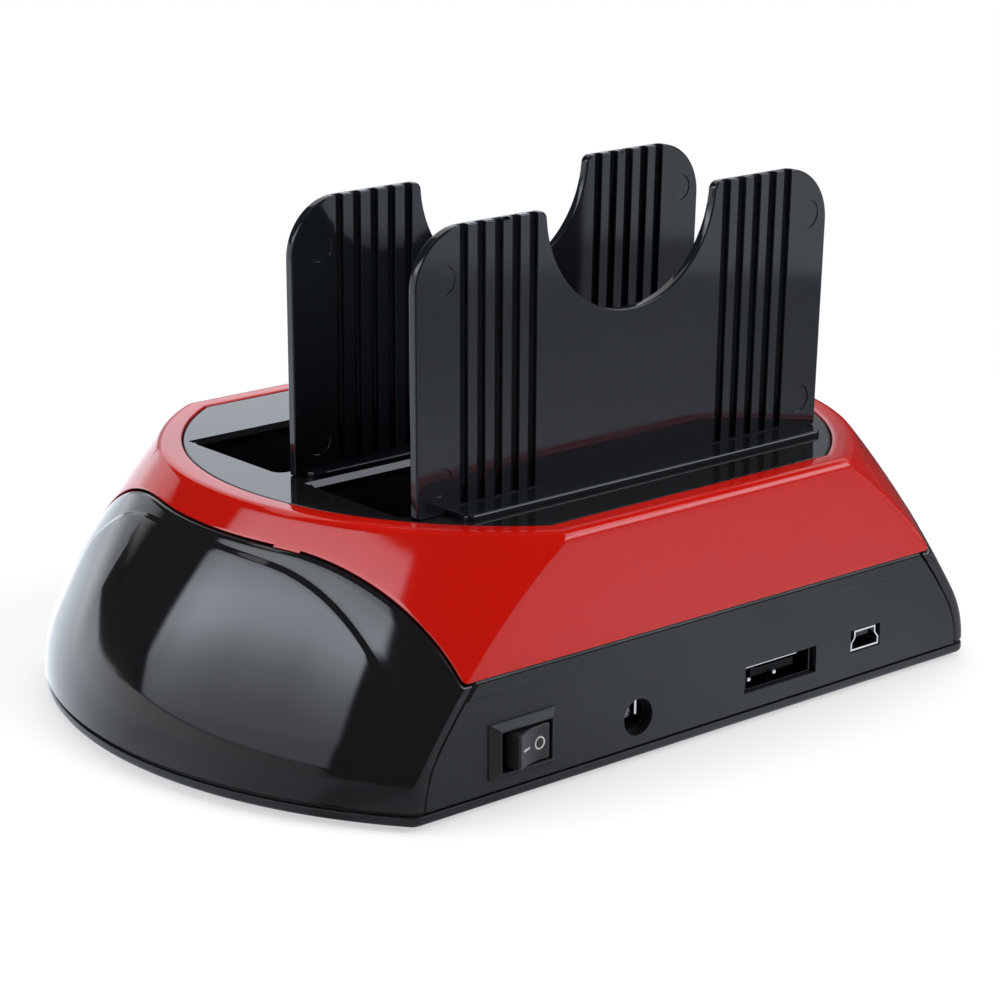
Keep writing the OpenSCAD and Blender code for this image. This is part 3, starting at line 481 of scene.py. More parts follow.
def end_cap(name, side, node):
    """Cap on one end: columns from the rear panel round to the front panel, rows from the seam down."""
    half_kind = np.repeat([2, 1, 0], [CAP_FLAT, CAP_CORNER, CAP_COLUMNS])
    half_share = np.concatenate([np.linspace(1, 0, CAP_FLAT + 1)[:-1], np.linspace(1, 0, CAP_CORNER + 1)[:-1],
                                 np.linspace(1, 0, CAP_COLUMNS)])
    kind = np.concatenate([half_kind, half_kind[-2::-1]])
    share = np.concatenate([half_share, half_share[-2::-1]])
    facing = np.repeat([-1.0, 1.0], [half_kind.size, half_kind.size - 1])
    corner_kind, corner_share = np.where(kind == 2, 1, kind), np.where(kind == 2, 1.0, share)
    top = seam_line(corner_kind, corner_share, 0.0)
    crease = np.minimum(crease_line(corner_kind, corner_share, top), top - CAP_LOW - CREASE_CLEAR)
    angle = np.radians(np.linspace(0, 90, 6))
    lifts = np.concatenate([[0.0], CAP_ROUND * (1 - np.cos(angle))])
    insets = np.concatenate([[CAP_WALL], CAP_ROUND * (1 - np.sin(angle))])
    bands = [(CAP_ROUND, crease - STEP_W / 2), (crease - STEP_W / 2, crease + STEP_W / 2),
             (crease + STEP_W / 2, top - CAP_LOW - CAP_ROUND)]
    middle = [a + t * (b - a) for (a, b), rows in zip(bands, CAP_ROWS) for t in np.linspace(0, 1, rows)[1:]]
    below = np.array([np.full(top.shape, a) for a in lifts] + middle
                     + [top - CAP_LOW - a for a in lifts[-2::-1]])
    inset = np.concatenate([insets, np.zeros(len(middle)), insets[-2::-1]])[:, None]
    h = top[None] - below
    base_r = flank_radius(h, inset)
    edge = np.sqrt(flank_radius(h, CAP_EDGE) ** 2 - HALF_D**2)
    y = outline_xy(kind, share, base_r, HALF_D - inset, CORNER_R, edge)[1]
    dying = 1 - smooth((np.abs(y) - SWELL_END) / SWELL_FADE)
    proud = SWELL * smooth((below - crease) / STEP_W + 0.5) * dying
    x, y = outline_xy(kind, share, base_r + proud * (inset == 0), HALF_D - inset, CORNER_R, edge)
    points = np.stack([side * x, facing * y, h + FOOT], axis=-1)
    if side < 0:
        points = points[:, ::-1]
    points = points[::-1]
    count, columns = points.shape[:2]
    quads = grid_quads(count, columns, close_columns=False, close_rows=True)
    first = np.arange(count) * columns
    cap = make_piece(name, points.reshape(-1, 3), quads, [first, (first + columns - 1)[::-1]])
    return dress(cap, "case", "black_gloss", [node])


end_cap("left_black_cap", -1, "left_end_cap")
end_cap("right_black_cap", 1, "right_end_cap")

# %% [markdown]
# ## The bottom tray
#
# Only the tray's rim shows, as a thin strip below a dark groove: its top steps in, and the step stays in
# shade. Its lower edge is well rounded. A loft of one outline gives both, and booleans cut the round seats
# below it for the feet and for the heads of the case screws.

# %% Bottom tray
RIM_H, RIM_LOW_ROUND, RIM_TOP_ROUND = 1.85, 0.9, 0.15
TRAY_H, TRAY_STEPS = 2.3, (0.9, 0.95)
# Seats as x, y, radius and depth
FOOT_SEAT = (57.746, 30.704, 6.0, 1.0)
SCREW_SEAT = (59.984, 16.073, 3.0, 1.9)


def upright(a, b, c):
    """Outline in plan, levels upwards from the table."""
    return a, b, c + FOOT


def flat_sided(r, d, corner):
    """Round plate with two straight sides, as a chain of arcs."""
    x, y = np.sqrt((r - corner) ** 2 - (d - corner) ** 2), d - corner
    meet = np.degrees(np.arctan2(y, x))
    return arc_chain([
        (0, 0, r, -meet, meet, 90, 1), (x, y, corner, meet, 90, 6, 1), (-x, y, corner, 90, 180 - meet, 6, 1),
        (0, 0, r, 180 - meet, 180 + meet, 90, 1), (-x, -y, corner, 180 + meet, 270, 6, 1),
        (x, -y, corner, 270, 360 - meet, 6, 1),
    ])


rim_insets, rim_levels = edge_rows(0, RIM_H, RIM_LOW_ROUND, RIM_TOP_ROUND)
tray = lofted("bottom_tray", flat_sided(BODY_R, HALF_D, CORNER_R), [*rim_insets, *TRAY_STEPS],
              [*rim_levels, RIM_H, TRAY_H], upright)
seats = []
for n, (sx, sy) in enumerate(((-1, -1), (1, -1), (1, 1), (-1, 1))):
    for word, (x, y, r, deep) in (("foot", FOOT_SEAT), ("screw", SCREW_SEAT)):
        seats.append(lofted(f"{word}_seat_{n}", disc(r, sx * x, sy * y), [0, 0], [-1, deep], upright))
carve(tray, seats)
dress(tray, "case", "black_satin", ["base_tray"])

# %% [markdown]
# ## The top panel
#
# A flat polished plate with two slots. A plain slab would do from far away, but the light catches the rounded
# slot edges, so the cutters flare at the top. The far edge of each slot has a wider chamfer that leads the
# drive in, and narrow slits take the tongues of the guide plates.

# %% Top panel
PANEL_R, PANEL_D, PANEL_CORNER, PANEL_TOP, PANEL_T = 63.0, 52.6, 0.8, 46.1, 2.5
SLOT_L, SLOT_W, SLOT_CORNER, SLOT_EDGE, PITCH = 103.5, 28.0, 2, 0.4, 37.2
CUT_BELOW, CUT_ABOVE = 6, 1
CHAMFER_LOW, CHAMFER_OUT = (-1.5, -1.2), (1.6, 2.2)
CHAMFER_TOP, CHAMFER_PAST, CHAMFER_IN = 0.6, 0.2, 0.5
PLATE_T, PLATE_BACK, TONGUE_L, TONGUE_T, SLIT_L, SLIT_W = 2.0, (1.0, 2.4), 88, 1.5, 88.4, 1.9
slot_ys = (-PITCH / 2, PITCH / 2)
plate_ys = tuple(y - SLOT_W / 2 - back_y - PLATE_T for y, back_y in zip(slot_ys, PLATE_BACK))


def along_x(a, b, c):
    """Section in depth and height, carried along the width."""
    return c, a, b + FOOT


panel = lofted("top_panel_plate", flat_sided(PANEL_R, PANEL_D, PANEL_CORNER),
               *edge_rows(PANEL_TOP - PANEL_T, PANEL_TOP, 0.2, SLOT_EDGE), upright)
flare = np.radians(np.linspace(0, 80, 6))
cutters = []
for n, y in enumerate(slot_ys):
    slot_insets = np.concatenate([[0.0], -SLOT_EDGE * (1 - np.cos(flare)), [-SLOT_EDGE - 0.05]])
    slot_levels = np.concatenate([[PANEL_TOP - CUT_BELOW], PANEL_TOP - SLOT_EDGE + SLOT_EDGE * np.sin(flare),
                                  [PANEL_TOP + CUT_ABOVE]])
    slot = rounded_rect(SLOT_L, SLOT_W, SLOT_CORNER, 0, y)
    cutters.append(lofted(f"slot_cutter_{n}", slot, slot_insets, slot_levels, upright))
    far_y = y + SLOT_W / 2
    wedge = np.array([[far_y - CHAMFER_IN, CHAMFER_TOP], [far_y - CHAMFER_IN, CHAMFER_LOW[n]],
                      [far_y + CHAMFER_OUT[n], CHAMFER_TOP]]) + [0, PANEL_TOP]
    cutters.append(lofted(f"chamfer_cutter_{n}", (wedge, np.zeros((3, 2))), [0, 0],
                          [-SLOT_L / 2 - CHAMFER_PAST, SLOT_L / 2 + CHAMFER_PAST], along_x))
    slit = rounded_rect(SLIT_L, SLIT_W, 0.2, 0, plate_ys[n] + TONGUE_T / 2)
    cutters.append(lofted(f"slit_cutter_{n}", slit, [0, 0], [PANEL_TOP - CUT_BELOW, PANEL_TOP + CUT_ABOVE],
                          upright))
carve(panel, cutters)
dress(panel, "case", "black_gloss", ["top_panel"])

# %% [markdown]
# ## The guide plates
#
# Each plate is a slab with big rounded ears, a finger cut-out, five grooves in each ear and the round marks
# that ejector pins leave. The outline is a chain of arcs, so drawing it in by a small inset gives the rounded
# edge that catches the light. The grooves are carved with prisms of a rounded trough section.

# %% Guide plates
PLATE_W, PLATE_H, PLATE_Z, PLATE_CORNER, PLATE_EDGE, TAPER = 102.0, 51.7, 46.15, 0.5, 0.35, 0.0186
EAR_R, CUT_R, CUT_EDGE = 11.0, 20.8, 1.6
GROOVE_X, GROOVE_PITCH, GROOVE_FOOT, FRONT_DEEP, BACK_DEEP = 32.0, 4.05, 1.2, 1.2, 0.35
GROOVE_HALF = np.array([1.2, 1.07, 1.02, 1.0, 0.97, 0.88, 0.7])
MARK_R, MARK_PLACES = 2.7, ((-45.5, 6.0), (46.0, 6.0), (-44.6, 42.4), (46.0, 42.4))
PLATE_FOOT_H, TONGUE_DEEP, PLATE_SHARP, GATE_X = 1.0, 12.9, 30, 31.0
# Feet as reach out of the plate, half length and corner radius
REAR_FOOT, FRONT_FOOT = (6.5, 44.6, 1.4), (3.2, 49.0, 2.8)


def drawn_in(x, rise):
    """Width of a plate at a height above its foot: it narrows downwards, measured from its left edge."""
    return (x + PLATE_W / 2) * (1 - TAPER * np.clip(1 - rise / PLATE_H, 0, 1)) - PLATE_W / 2


def plate_outline():
    """Front view of a plate: square feet, round ears, and a finger cut-out with soft corners."""
    w, h, c = PLATE_W / 2, PLATE_H, PLATE_CORNER
    ear_x = np.sqrt((CUT_R + CUT_EDGE) ** 2 - CUT_EDGE**2)
    touch = np.degrees(np.arcsin(CUT_EDGE / (CUT_R + CUT_EDGE)))
    return arc_chain([
        (-w + c, c, c, 180, 270, 5, 1), (w - c, c, c, 270, 360, 5, 1),
        (w - EAR_R, h - EAR_R, EAR_R, 0, 90, 24, 1), (ear_x, h - CUT_EDGE, CUT_EDGE, 90, 180 - touch, 12, 1),
        (0, h, CUT_R, -touch, touch - 180, 60, -1), (-ear_x, h - CUT_EDGE, CUT_EDGE, touch, 90, 12, 1),
        (-w + EAR_R, h - EAR_R, EAR_R, 90, 180, 24, 1),
    ])


def trough_prisms(name, face_y, inward, deep):
    """Ten upright prisms, each a trough 2 wide with steep sides, cut that deep into the face at face_y."""
    centres = np.add.outer([-GROOVE_X, GROOVE_X], GROOVE_PITCH * np.arange(-2, 3)).ravel()
    section_x = np.concatenate([-GROOVE_HALF, GROOVE_HALF[::-1], [GROOVE_HALF[0], -GROOVE_HALF[0]]])
    sunk = np.array([-0.1, 0.0, 0.1, deep - 0.25, deep - 0.12, deep - 0.03, deep])
    section_y = np.concatenate([sunk, sunk[::-1], [-1.0, -1.0]]) * inward
    z = np.array([PLATE_Z + GROOVE_FOOT, PLATE_Z + PLATE_H + 5]) + FOOT
    rise = (z - PLATE_Z - FOOT)[None, :, None]
    x = drawn_in(centres[:, None, None] + section_x, rise)
    y = np.broadcast_to(face_y + section_y, x.shape)
    points = np.stack([x, y, np.broadcast_to(z[None, :, None], x.shape)], axis=-1).reshape(-1, 3)
    prisms, ends, count = x.shape
    quads = np.concatenate([grid_quads(ends, count) + ends * count * k for k in range(prisms)])
    rings = np.arange(x.size).reshape(-1, count)
    lids = [ring[::-1] if n % 2 == 0 else ring for n, ring in enumerate(rings)]
    if inward > 0:
        quads, lids = quads[:, ::-1], [ring[::-1] for ring in lids]
    return make_piece(name, points, quads, lids)


def guide_plate(name, n, foot_deep, foot_half, foot_round, gate_x, node, body):
    """Plate n with its foot in front, its tongue below and the nick that the moulding gate left on it."""
    front = plate_ys[n]

    def facing(a, b, c):
        """Outline seen from the rear, levels from the back face to the front face."""
        return drawn_in(a, b), front + PLATE_T - c, b + PLATE_Z + FOOT

    plate = lofted(name, plate_outline(), *edge_rows(0, PLATE_T, PLATE_EDGE, PLATE_EDGE, 8), facing)
    cutters = [trough_prisms("front_troughs", front, 1, FRONT_DEEP),
               trough_prisms("back_troughs", front + PLATE_T, -1, BACK_DEEP)]
    for k, (x, z) in enumerate(MARK_PLACES):
        cutters.append(lofted(f"mark_{k}", disc(MARK_R, x, z, 40), [0.12, 0.06, 0.0, -0.2],
                              [PLATE_T - 0.18, PLATE_T - 0.14, PLATE_T - 0.02, PLATE_T + 0.3], facing))
    cutters.append(lofted("gate_nick", rounded_rect(3.0, 1.4, 0.3, gate_x, PLATE_H + 0.2), [0, 0],
                          [1.1, PLATE_T + 1], facing))
    carve(plate, cutters, PLATE_SHARP)
    dress(plate, body, "plate_gloss", [node])
    w, round_y = foot_half - foot_round, front - foot_deep + foot_round
    back_x, back_y = foot_half - PLATE_CORNER, front - 0.1
    foot = arc_chain([
        (-w, round_y, foot_round, 180, 270, 10, 1), (w, round_y, foot_round, 270, 360, 10, 1),
        (back_x, back_y, PLATE_CORNER, 0, 90, 5, 1), (-back_x, back_y, PLATE_CORNER, 90, 180, 5, 1),
    ])
    foot_rows = edge_rows(PLATE_Z, PLATE_Z + PLATE_FOOT_H, 0.1, 0.45, 9)
    dress(lofted(f"{name}_foot", foot, *foot_rows, upright), body, "plate_gloss")
    tongue = rounded_rect(TONGUE_L, TONGUE_T, 0.35, 0, front + TONGUE_T / 2)
    tongue_rows = edge_rows(PLATE_Z - TONGUE_DEEP, PLATE_Z + 0.4, 0.3, 0.1)
    dress(lofted(f"{name}_tongue", tongue, *tongue_rows, upright), body, "plate_gloss")


guide_plate("rear_plate_panel", 0, *REAR_FOOT, -GATE_X, "rear_guide_plate", "rear_plate")
guide_plate("front_plate_panel", 1, *FRONT_FOOT, GATE_X, "front_guide_plate", "front_plate")

# %% [markdown]
# ## The raised lip on the port panel
#
# Just under the red shell the port panel has a lip a third of a millimetre thick, which shows as a fine line.
# It follows the slanting ends of the panel. A line in the finish would stay flat, so it is a thin slab with a
# rounded edge, at the back and the front.

# %% Panel lips
LIP_LOW, LIP_HIGH, LIP_END, LIP_T = 20.4, 23.1, 2.0, 0.35
end_low, end_high = np.sqrt(flank_radius(np.array([LIP_LOW, LIP_HIGH]), LIP_END) ** 2 - HALF_D**2)
lip_ring = np.array([[-end_low, LIP_LOW], [end_low, LIP_LOW], [end_high, LIP_HIGH], [-end_high, LIP_HIGH]])
lip_normals = np.array([[-1, -1], [1, -1], [1, 0], [-1, 0]], float)
for name, facing_y in (("rear_panel_lip", -1.0), ("front_panel_lip", 1.0)):

    def on_face(a, b, c):
        """Outline seen from outside, levels out of the panel."""
        return -facing_y * a, facing_y * (HALF_D + c), b + FOOT

    lip = lofted(name, (lip_ring, lip_normals), [0, 0, 0.08, 0.25], [-0.3, 0.2, 0.3, LIP_T], on_face)
    dress(lip, "case", "black_satin")

# %% [markdown]
# ## The rocker switch
#
# The switch has a bezel whose sides slope up to the rim, and a rocker that tips about an upright axis. The
# bezel could be cut from a block, but one grid whose rows run up its body, over the rim and down into the
# well keeps its slopes clean. The rocker's section, with its dished face, is carried along its height. The
# printed marks follow the same dished curve and tip with it.

# %% Rocker switch
SWITCH_X, SWITCH_H, PIVOT_Y, TILT, BEZEL_SHARP = -46.0, 9.7, -57.05, np.radians(13), 40


def on_switch(a, b, c):
    """Outline seen from outside about the switch's middle, levels out of the panel's face."""
    return SWITCH_X + a, -HALF_D - c, SWITCH_H + b + FOOT


def bezel_ring(width, height, corner, out):
    """Rectangle with round corners at that distance out of the panel's face."""
    a, b = rounded_rect(width, height, corner)[0].T
    return np.stack(on_switch(a, b, np.full_like(a, out)), axis=-1)


bezel_rows = (
    (13.0, 8.8, 0.3, -12.2), (13.0, 8.8, 0.3, -0.2), (15.6, 10.6, 0.4, -0.2), (15.6, 10.6, 0.4, 0.15),
    (15.5, 10.5, 0.4, 0.26), (15.2, 10.3, 0.4, 0.4), (12.3, 8.25, 0.35, 1.52), (12.1, 8.05, 0.3, 1.58),
    (11.9, 7.9, 0.3, 1.6), (11.6, 7.6, 0.25, 1.57), (11.45, 7.45, 0.2, 1.45), (11.4, 7.4, 0.2, 1.2),
    (11.4, 7.4, 0.2, -10.2),
)
bezel_points = np.stack([bezel_ring(*row) for row in bezel_rows])
rows, columns = bezel_points.shape[:2]
bezel_lids = [np.arange(columns) + (rows - 1) * columns, np.arange(columns)[::-1]]
bezel = make_piece("switch_bezel", bezel_points.reshape(-1, 3), grid_quads(rows, columns), bezel_lids,
                   BEZEL_SHARP)
dress(bezel, "case", "black_satin", ["switch_frame"])


def tipped(u, v, w):
    """Point of the rocker, u along it, v outwards from its pivot and w up, tipped with its right half in."""
    x = u * np.cos(TILT) + v * np.sin(TILT)
    y = u * np.sin(TILT) - v * np.cos(TILT)
    return SWITCH_X + x, PIVOT_Y + y, SWITCH_H + w + FOOT


DISH_R, DISH_V, DISH_END, FACE_V, FACE_SLOPE = 12.0, 15.27, 2.9, 2.9, np.tan(np.radians(14))
ROCKER_HALF, ROCKER_EDGE = 3.3, 0.25
INK_T, INK_SUNK, RING_R, RING_AT, DASH_AT = 0.03, 0.05, (1.22, 0.93), (1.9, 0), (-1.95, -0.1)
rocker_outline = arc_chain([
    (-4.1, 0.9, 0.3, 180, 225, 4, 1), (-1.7, -1.9, 0.3, 225, 270, 4, 1), (1.7, -1.9, 0.3, 270, 315, 4, 1),
    (4.1, 0.9, 0.3, 315, 360, 4, 1), (4.0, 3.48, 0.4, 0, 104, 9, 1), (0.0, DISH_V, DISH_R, 284, 256, 15, -1),
    (-4.0, 3.48, 0.4, 76, 180, 9, 1),
])
rocker_outline = tuple(array[::-1] for array in rocker_outline)
rocker_rows = edge_rows(-ROCKER_HALF, ROCKER_HALF, ROCKER_EDGE, ROCKER_EDGE)
rocker = lofted("switch_rocker_cap", rocker_outline, *rocker_rows, tipped)
dress(rocker, "rocker", "black_satin", ["switch_rocker"], look="rocker_gloss")


def face_v(u):
    """Distance of the rocker's face from the pivot: a round dish in the middle, straight slopes beside it."""
    dish = DISH_V - np.sqrt(np.maximum(DISH_R**2 - u**2, 0))
    return np.where(np.abs(u) < DISH_END, dish, FACE_V + FACE_SLOPE * np.abs(u))


def mark_piece(name, outer, inner):
    """Thin printed mark on the rocker's face, between an outer and an inner outline."""
    rows = [np.stack(tipped(ring[:, 0], face_v(ring[:, 0]) + rise, ring[:, 1]), axis=-1)
            for ring, rise in ((outer, -INK_SUNK), (outer, INK_T), (inner, INK_T), (inner, -INK_SUNK))]
    return make_piece(name, np.array(rows).reshape(-1, 3), grid_quads(4, outer.shape[0], close_rows=True))


ring_mark = mark_piece("round_mark", *[disc(radius, *RING_AT, 40)[0] for radius in RING_R])
dress(ring_mark, "rocker", "black_satin", look="mark_white")
dash_outer = rounded_rect(2.3, 0.34, 0.1)[0]
dash_mark = mark_piece("dash_mark", dash_outer + DASH_AT, dash_outer * [0.98, 0.02] + DASH_AT)
dress(dash_mark, "rocker", "black_satin", look="mark_white")

# %% [markdown]
# ## Bright edges in the ports
#
# The drive port's sheet metal inside has a dark finish that paints the shade it sits in, but the folded upper
# edge of its mouth and two springs on its floor are bright, and so is the leaf in the power inlet. They could
# be painted on, but real edges glint from any side, so each is a small section carried along the width.

# %% Bright edges in the ports
PORT_X, PORT_LOW, PORT_MOUTH = 18.3, 5.8, -57.35
SPRING_XS, SPRING_HALF, STRIP_SHARP = (10.9, 17.6), 0.4, 50
INLET_X, LEAF_HALF, LEAF_DEEP, LEAF_H = -17.6, 0.25, -56.65, 9.2


def strip_along(name, section, start, end):
    """Closed section in depth and height carried from start to end along the width."""
    strip = lofted(name, (section, np.zeros_like(section)), [0, 0], [start, end], along_x, STRIP_SHARP)
    return dress(strip, "case", "port_metal")


fold = rounded_rect(0.3, 0.26, 0.08, PORT_MOUTH - 0.02, PORT_LOW + 4.62, 4)[0]
strip_along("port_fold", fold, PORT_X - 8.6, PORT_X + 4.9)
spring_path = np.array([
    [3.0, 0.4], [0.9, 2.0], [0.55, 2.35], [0.2, 2.35], [0.05, 2.0], [0.1, 1.7], [0.3, 1.7], [0.4, 1.95],
    [0.7, 1.8], [2.8, 0.2]])
spring_path = spring_path + [PORT_MOUTH, PORT_LOW]
for n, spring_x in enumerate(SPRING_XS):
    strip_along(f"port_spring_{n}", spring_path, spring_x - SPRING_HALF, spring_x + SPRING_HALF)
leaf = rounded_rect(0.16, 2.9, 0.07, LEAF_DEEP, LEAF_H, 4)[0]
strip_along("power_inlet_leaf", leaf, INLET_X - LEAF_HALF, INLET_X + LEAF_HALF)

# %% [markdown]
# ## The front push button
#
# The button is a turned piece with a rounded rim and a slightly dished face. A turned piece is a profile of
# radius and depth carried round an axis, so it is a loft of circles.

# %% Push button
BUTTON_X, BUTTON_H, BUTTON_R, BUTTON_SHARP = 24.0, 10.5, 5.5, 50


def on_front(a, b, c):
    """Outline seen from the front, levels out of the front panel's face."""
    return BUTTON_X - a, HALF_D + c, BUTTON_H + b + FOOT


button_profile = np.array([
    [1.8, -6.3], [1.8, -3.4], [BUTTON_R, -3.4], [BUTTON_R, -2.4], [4.5, -2.4], [4.5, 1.7], [4.38, 2.0],
    [4.1, 2.16], [3.7, 2.2], [3.0, 2.12], [1.6, 2.0], [0.4, 1.97]])
button_insets, button_levels = BUTTON_R - button_profile[:, 0], button_profile[:, 1]
button = lofted("push_button", disc(BUTTON_R), button_insets, button_levels, on_front, BUTTON_SHARP)
dress(button, "button", "button_grey", ["backup_button"])

# %% [markdown]
# ## The studio floor
#
# Polished plastic shows what stands round it, so the studio counts as much as the finishes. A pale floor
# takes the soft shadow. An endless white plane would show a horizon behind the object, so this one fades out
# behind it and at its rim. To the camera it partly glows by itself, which keeps the shadow pale. The floor,
# cloths, cards and lamps aren't part of the object.

# %% Studio floor
FLOOR_WHITE, FLOOR_ROUGH, FLOOR_LIFT, FLOOR_HALF, FLOOR_POINTS = (0.9, 0.9, 0.9), 0.9, 0.55, 4, 9
BEHIND, BEHIND_FADE, RIM_FADE = (0.646, 0.763, 0), (0.05, 0.4), (0.55, 1.0)
scene = bpy.context.scene
scene.view_settings.view_transform = "Standard"


def plain(name, colour, rough):
    """Even matt shader for what stands round the object."""
    material, tree, shader = blank_material(name)
    fill(tree, shader, {"Base Color": (*colour, 1), "Roughness": rough, "Specular IOR Level": 0.0})
    return material


def stage_sheet(name, points, rows, columns, material, seen):
    """Open sheet of the studio; the camera sees it only where seen is true."""
    mesh = bpy.data.meshes.new(name)
    mesh.from_pydata(points.tolist(), [], grid_quads(rows, columns, close_columns=False).tolist())
    mesh.shade_smooth()
    sheet = bpy.data.objects.new(name, mesh)
    scene.collection.objects.link(sheet)
    sheet.data.materials.append(material)
    sheet.visible_camera = seen
    return sheet


def fade_out(tree, distance, near, far):
    """Output that falls from 1 to 0 with level ends while a distance grows from near to far, in metres."""
    fade = add_node(tree, "MapRange", {"Value": distance.outputs["Value"], "From Min": near, "From Max": far,
                                       "To Min": 1.0, "To Max": 0.0}, interpolation_type="SMOOTHSTEP")
    return fade.outputs["Result"]


floor_paint = plain("pale_floor", FLOOR_WHITE, FLOOR_ROUGH)
tree = floor_paint.node_tree
place = add_node(tree, "TexCoord").outputs["Object"]
away = add_node(tree, "VectorMath", {0: place, 1: BEHIND}, operation="DOT_PRODUCT")
reach = add_node(tree, "VectorMath", {0: place}, operation="LENGTH")
fades = {0: fade_out(tree, away, *BEHIND_FADE), 1: fade_out(tree, reach, *RIM_FADE)}
both_fades = add_node(tree, "Math", fades, operation="MULTIPLY")
to_camera = add_node(tree, "LightPath").outputs["Is Camera Ray"]
lift = add_node(tree, "Math", {0: to_camera, 1: FLOOR_LIFT}, operation="MULTIPLY").outputs["Value"]
tint = add_node(tree, "Mix", {"Factor": lift, "A": (*FLOOR_WHITE, 1), "B": (0, 0, 0, 1)}, data_type="RGBA")
fill(tree, tree.nodes["Principled BSDF"], {
    "Base Color": tint.outputs["Result"], "Alpha": both_fades.outputs["Value"],
    "Emission Color": (1, 1, 1, 1), "Emission Strength": lift,
})
span = np.linspace(-FLOOR_HALF, FLOOR_HALF, FLOOR_POINTS)
floor_x, floor_y = np.meshgrid(span, span)
floor_points = np.stack([floor_x, floor_y, np.zeros_like(floor_x)], axis=-1).reshape(-1, 3)
stage_sheet("floor", floor_points, *floor_x.shape, floor_paint, True)
print("floor fades out between", RIM_FADE, "m")

# %% [markdown]
# ## Dark cloths
#
# Dark cloths on the camera's side and overhead keep the black parts black. They could be a plain box, but a
# round wall leaves no corners in the gloss. Its lower edge rises and falls, and below it a pale horizon shows
# as the bright foot of each reflection.

# %% Dark cloths
WALL_R, WALL_TOP, WALL_FROM, WALL_TO = 1.7, 1.9, 85, 335
dark = plain("dark_cloth", (0.048, 0.049, 0.053), 0.95)


def cloth_foot(angle):
    """Height of the cloth's lower edge round the studio, in metres."""
    bearings = [85, 98, 99, 105, 110, 115, 120, 124, 128, 137, 151, 166, 180, 189, 195, 202, 335]
    heights = [0.5, 0.5, 0.14, 0.17, 0.19, 0.23, 0.28, 0.31, 0.34, 0.376, 0.36, 0.33, 0.3, 0.224, 0.09, 0,
               -0.02]
    return np.interp(angle, bearings, heights)


def ring_wall(radius, angle, z):
    """Points of an upright sheet at that radius, from angles in degrees and rows of heights."""
    turned = np.radians(np.broadcast_to(angle, z.shape))
    return np.stack([radius * np.cos(turned), radius * np.sin(turned), z], axis=-1)


wall_angle = np.linspace(WALL_FROM, WALL_TO, WALL_TO - WALL_FROM + 1)
wall_foot = cloth_foot(wall_angle)
wall_z = wall_foot + np.linspace(0, 1, 6)[:, None] * (WALL_TOP - wall_foot)
stage_sheet("side_cloth", ring_wall(WALL_R, wall_angle, wall_z).reshape(-1, 3), *wall_z.shape, dark, False)
roof_x, roof_y = np.meshgrid(np.linspace(-1.9, 1.9, 5), np.linspace(-1.9, 1.2, 5))
roof_points = np.stack([roof_x, roof_y, np.full_like(roof_x, WALL_TOP)], axis=-1).reshape(-1, 3)
stage_sheet("roof_cloth", roof_points, *roof_x.shape, dark, False)
print("cloth wall from", WALL_FROM, "to", WALL_TO, "degrees")

# %% [markdown]
# ## The soft box on the left
#
# One long soft box on the left draws the pale patch across the end cap. An area lamp has one brightness and
# hard edges, so the box is a card: a sheet with a brightness at each point, kept as an attribute, and a
# shader that glows by it. Other cards show in the gloss alone, and this one also lights the object.

# %% Soft box on the left
CARD_GAIN, BOX_FROM, BOX_TO = 1.07, 128, 196


def card_shader(name, tint):
    """Black shader that glows in a tint, by the value that each point holds."""
    material = plain(name, (0, 0, 0), 1.0)
    tree = material.node_tree
    level = add_node(tree, "Attribute", attribute_name="glow").outputs["Fac"]
    fill(tree, tree.nodes["Principled BSDF"], {"Emission Strength": level, "Emission Color": (*tint, 1)})
    return material


glow = card_shader("lit_card", (0.85, 0.91, 1.0))
pale = card_shader("pale_card", (0.9, 0.95, 1.0))


def lit_card(name, points, strength, shade=glow):
    """Card that shows only in the gloss and glows by a strength for each of its points."""
    rows, columns = strength.shape
    card = stage_sheet(name, points.reshape(-1, 3), rows, columns, shade, False)
    values = (CARD_GAIN * strength).astype(np.float32).ravel()
    card.data.attributes.new("glow", "FLOAT", "POINT").data.foreach_set("value", values)
    card.visible_diffuse = False
    card.visible_shadow = False
    card.visible_transmission = False
    return card


box_angle = np.linspace(BOX_FROM, BOX_TO, 103)
box_top = np.interp(box_angle, [BOX_FROM, 134, 153, 172, BOX_TO], [33.5, 37, 46, 51.4, 52.2])
box_low = np.interp(box_angle, [BOX_FROM, 140, 150, 160, 172, BOX_TO], [13, 11.5, 10.5, 9.5, 8.5, 6.5])
box_deg = box_top + np.linspace(0, 1, 60)[:, None] * (box_low - box_top)
box_el = np.radians(box_deg)
box_az = np.radians(np.broadcast_to(box_angle, box_el.shape))
box_points = np.stack([np.cos(box_az) * np.cos(box_el), np.sin(box_az) * np.cos(box_el), np.sin(box_el)],
                      axis=-1)
box_level = np.interp(box_top - box_deg, [0, 1, 6, 12, 15, 18, 20, 24, 30, 46],
                      [0, 2.2, 2.9, 5.0, 4.7, 3.1, 2.2, 1.4, 1.05, 1.0])
box_left = 129.4 + 4 * smooth((16.5 - box_deg) / 4)
box_ends = smooth((box_angle - box_left) / 1.8) * smooth((BOX_TO - box_angle) / 3)
box_sides = box_ends * smooth((box_deg - box_low) / 1.2)
box_dim = 0.74 + 0.26 * smooth((box_angle - 131) / 9)
left_box = lit_card("left_soft_box", box_points, box_level * box_sides * box_dim)
left_box.visible_diffuse = True
print("soft box glows up to", round(float(CARD_GAIN * box_level.max()), 2))

# %% [markdown]
# ## Cards round the horizon
#
# The gloss on upright faces shows the horizon. It could be a picture wrapped round the world, but cards can
# be set one by one: each stands just inside the cloth wall, and numpy gives its brightness by bearing and
# height. One more card, below the roof cloth, shows in the chamfers of the slots.

